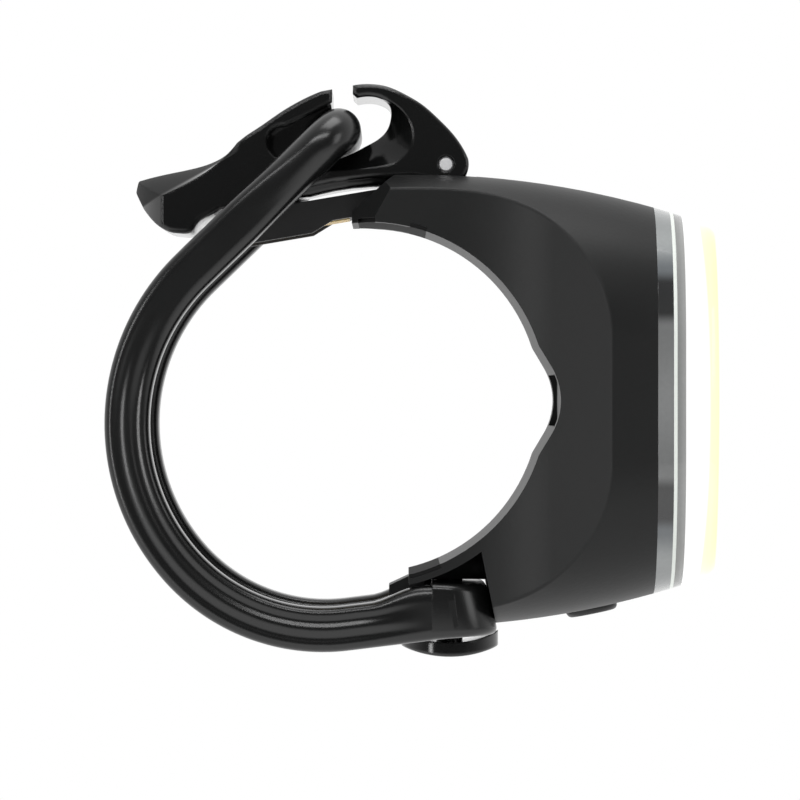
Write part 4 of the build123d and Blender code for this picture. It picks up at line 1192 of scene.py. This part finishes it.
@dataclass(frozen=True)
class Lamp:
    """A soft lamp: where it hangs, its width and height, and its power in watts."""

    name: str
    place: tuple[float, float, float]
    size: tuple[float, float]
    power: float

    def hang(self) -> None:
        """Hangs the lamp so that it faces the headlight."""
        lamp = bpy.data.lights.new(self.name, "AREA")
        lamp.shape = "RECTANGLE"
        lamp.size, lamp.size_y = (side * MM for side in self.size)
        lamp.energy = self.power
        holder = bpy.data.objects.new(self.name, lamp)
        bpy.context.scene.collection.objects.link(holder)
        place = Vector(self.place) * MM
        turn = (-place).to_track_quat("-Z", "Y")
        holder.matrix_world = Matrix.LocRotScale(place, turn, None)


@dataclass
class Studio:
    """The camera at the photograph's angle, the white surround, the floor and the soft lamps."""

    camera_place: tuple[float, float, float] = (3.14, -640.0, 0.05)
    camera_near: float = 10.0
    frame_width: float = 80.0
    sensor: float = 36.0
    floor_z: float = -140.0
    floor_size: float = 2800.0
    floor_glow: float = 0.5
    surround: float = 0.4
    front: float = 0.12
    dark_from: float = -0.85
    dark_to: float = 0.45
    lamps: tuple[Lamp, ...] = (
        Lamp("lamp_strip_top", (-60.0, -400.0, 400.0), (460.0, 80.0), 1.0),
        Lamp("lamp_overhead", (60.0, -40.0, 430.0), (260.0, 260.0), 0.8),
        Lamp("lamp_strip_left", (-400.0, -400.0, 40.0), (80.0, 420.0), 1.0),
        Lamp("lamp_right", (430.0, -260.0, 120.0), (160.0, 240.0), 0.3),
    )

    def build(self) -> None:
        """Makes the camera, the surround, the floor and the lamps."""
        self.add_camera()
        self.add_surround()
        self.add_floor()
        for lamp in self.lamps:
            lamp.hang()

    def add_camera(self) -> None:
        """Looks level along the handlebar from the photograph's place."""
        camera = bpy.data.cameras.new("camera")
        camera.sensor_width = self.sensor
        camera.lens = self.sensor * -self.camera_place[1] / self.frame_width
        camera.clip_start = self.camera_near * MM
        holder = bpy.data.objects.new("camera", camera)
        bpy.context.scene.collection.objects.link(holder)
        turn = Matrix.Rotation(math.radians(90.0), 4, "X")
        holder.matrix_world = Matrix.Translation(Vector(self.camera_place) * MM) @ turn
        bpy.context.scene.camera = holder

    def add_surround(self) -> None:
        """Makes the surround white to the eye, darker in front for gloss, and soft as a light."""
        world = bpy.data.worlds.new("surround")
        bpy.context.scene.world = world
        world.use_nodes = True
        nodes = NodeTree(world.node_tree)
        background = world.node_tree.nodes["Background"]
        background.inputs["Color"].default_value = WHITE
        shade = nodes.add("MapRange", interpolation_type="SMOOTHSTEP")
        shade.inputs["From Min"].default_value = self.dark_from
        shade.inputs["From Max"].default_value = self.dark_to
        shade.inputs["To Min"].default_value = self.front
        shade.inputs["To Max"].default_value = 1.0
        view = nodes.add("TexCoord").outputs["Generated"]
        nodes.link(nodes.axes(view)["Y"], shade.inputs["Value"])
        path = nodes.add("LightPath").outputs
        mirrored = nodes.math("ADD", path["Is Glossy Ray"], path["Is Transmission Ray"], True)
        strength = nodes.blend(mirrored, self.surround, shade.outputs["Result"])
        strength = nodes.blend(path["Is Camera Ray"], strength, 1.0)
        nodes.link(strength, background.inputs["Strength"])

    def add_floor(self) -> None:
        """Lays a plain pale floor well below the light, which isn't seen from underneath."""
        deselect_all()
        bpy.ops.mesh.primitive_plane_add(
            size=self.floor_size * MM, location=(0.0, 0.0, self.floor_z * MM)
        )
        floor = bpy.context.active_object
        floor.name = "floor"
        bpy.ops.object.transform_apply(location=True, rotation=True, scale=True)
        paint = FLOOR_WHITE.material()
        nodes = NodeTree(paint.node_tree)
        shader = paint.node_tree.nodes["Principled BSDF"]
        path = nodes.add("LightPath").outputs
        seen = nodes.math("ADD", path["Is Camera Ray"], path["Is Glossy Ray"])
        seen = nodes.math("ADD", seen, path["Is Transmission Ray"], True)
        glow = nodes.math("MULTIPLY", seen, self.floor_glow)
        nodes.link(glow, shader.inputs["Emission Strength"])
        shader.inputs["Emission Color"].default_value = WHITE
        back = nodes.add("NewGeometry").outputs["Backfacing"]
        nodes.link(nodes.math("SUBTRACT", 1.0, back), shader.inputs["Alpha"])
        floor.data.materials.append(paint)


def main() -> None:
    """Builds the dressed headlight, sub-assembly by sub-assembly."""
    logging.basicConfig(level=logging.INFO)
    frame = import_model()
    bpy.context.scene.view_settings.view_transform = "Standard"
    Studio().build()
    paints = PaintShelf()
    Shell(paints).dress(frame["nodes"])
    for piece in (Strap(paints).build(), LeverCore(paints).build()):
        LOG.info("built %s with %d faces", piece.name, len(piece.data.polygons))


if __name__ == "__main__":
    main()
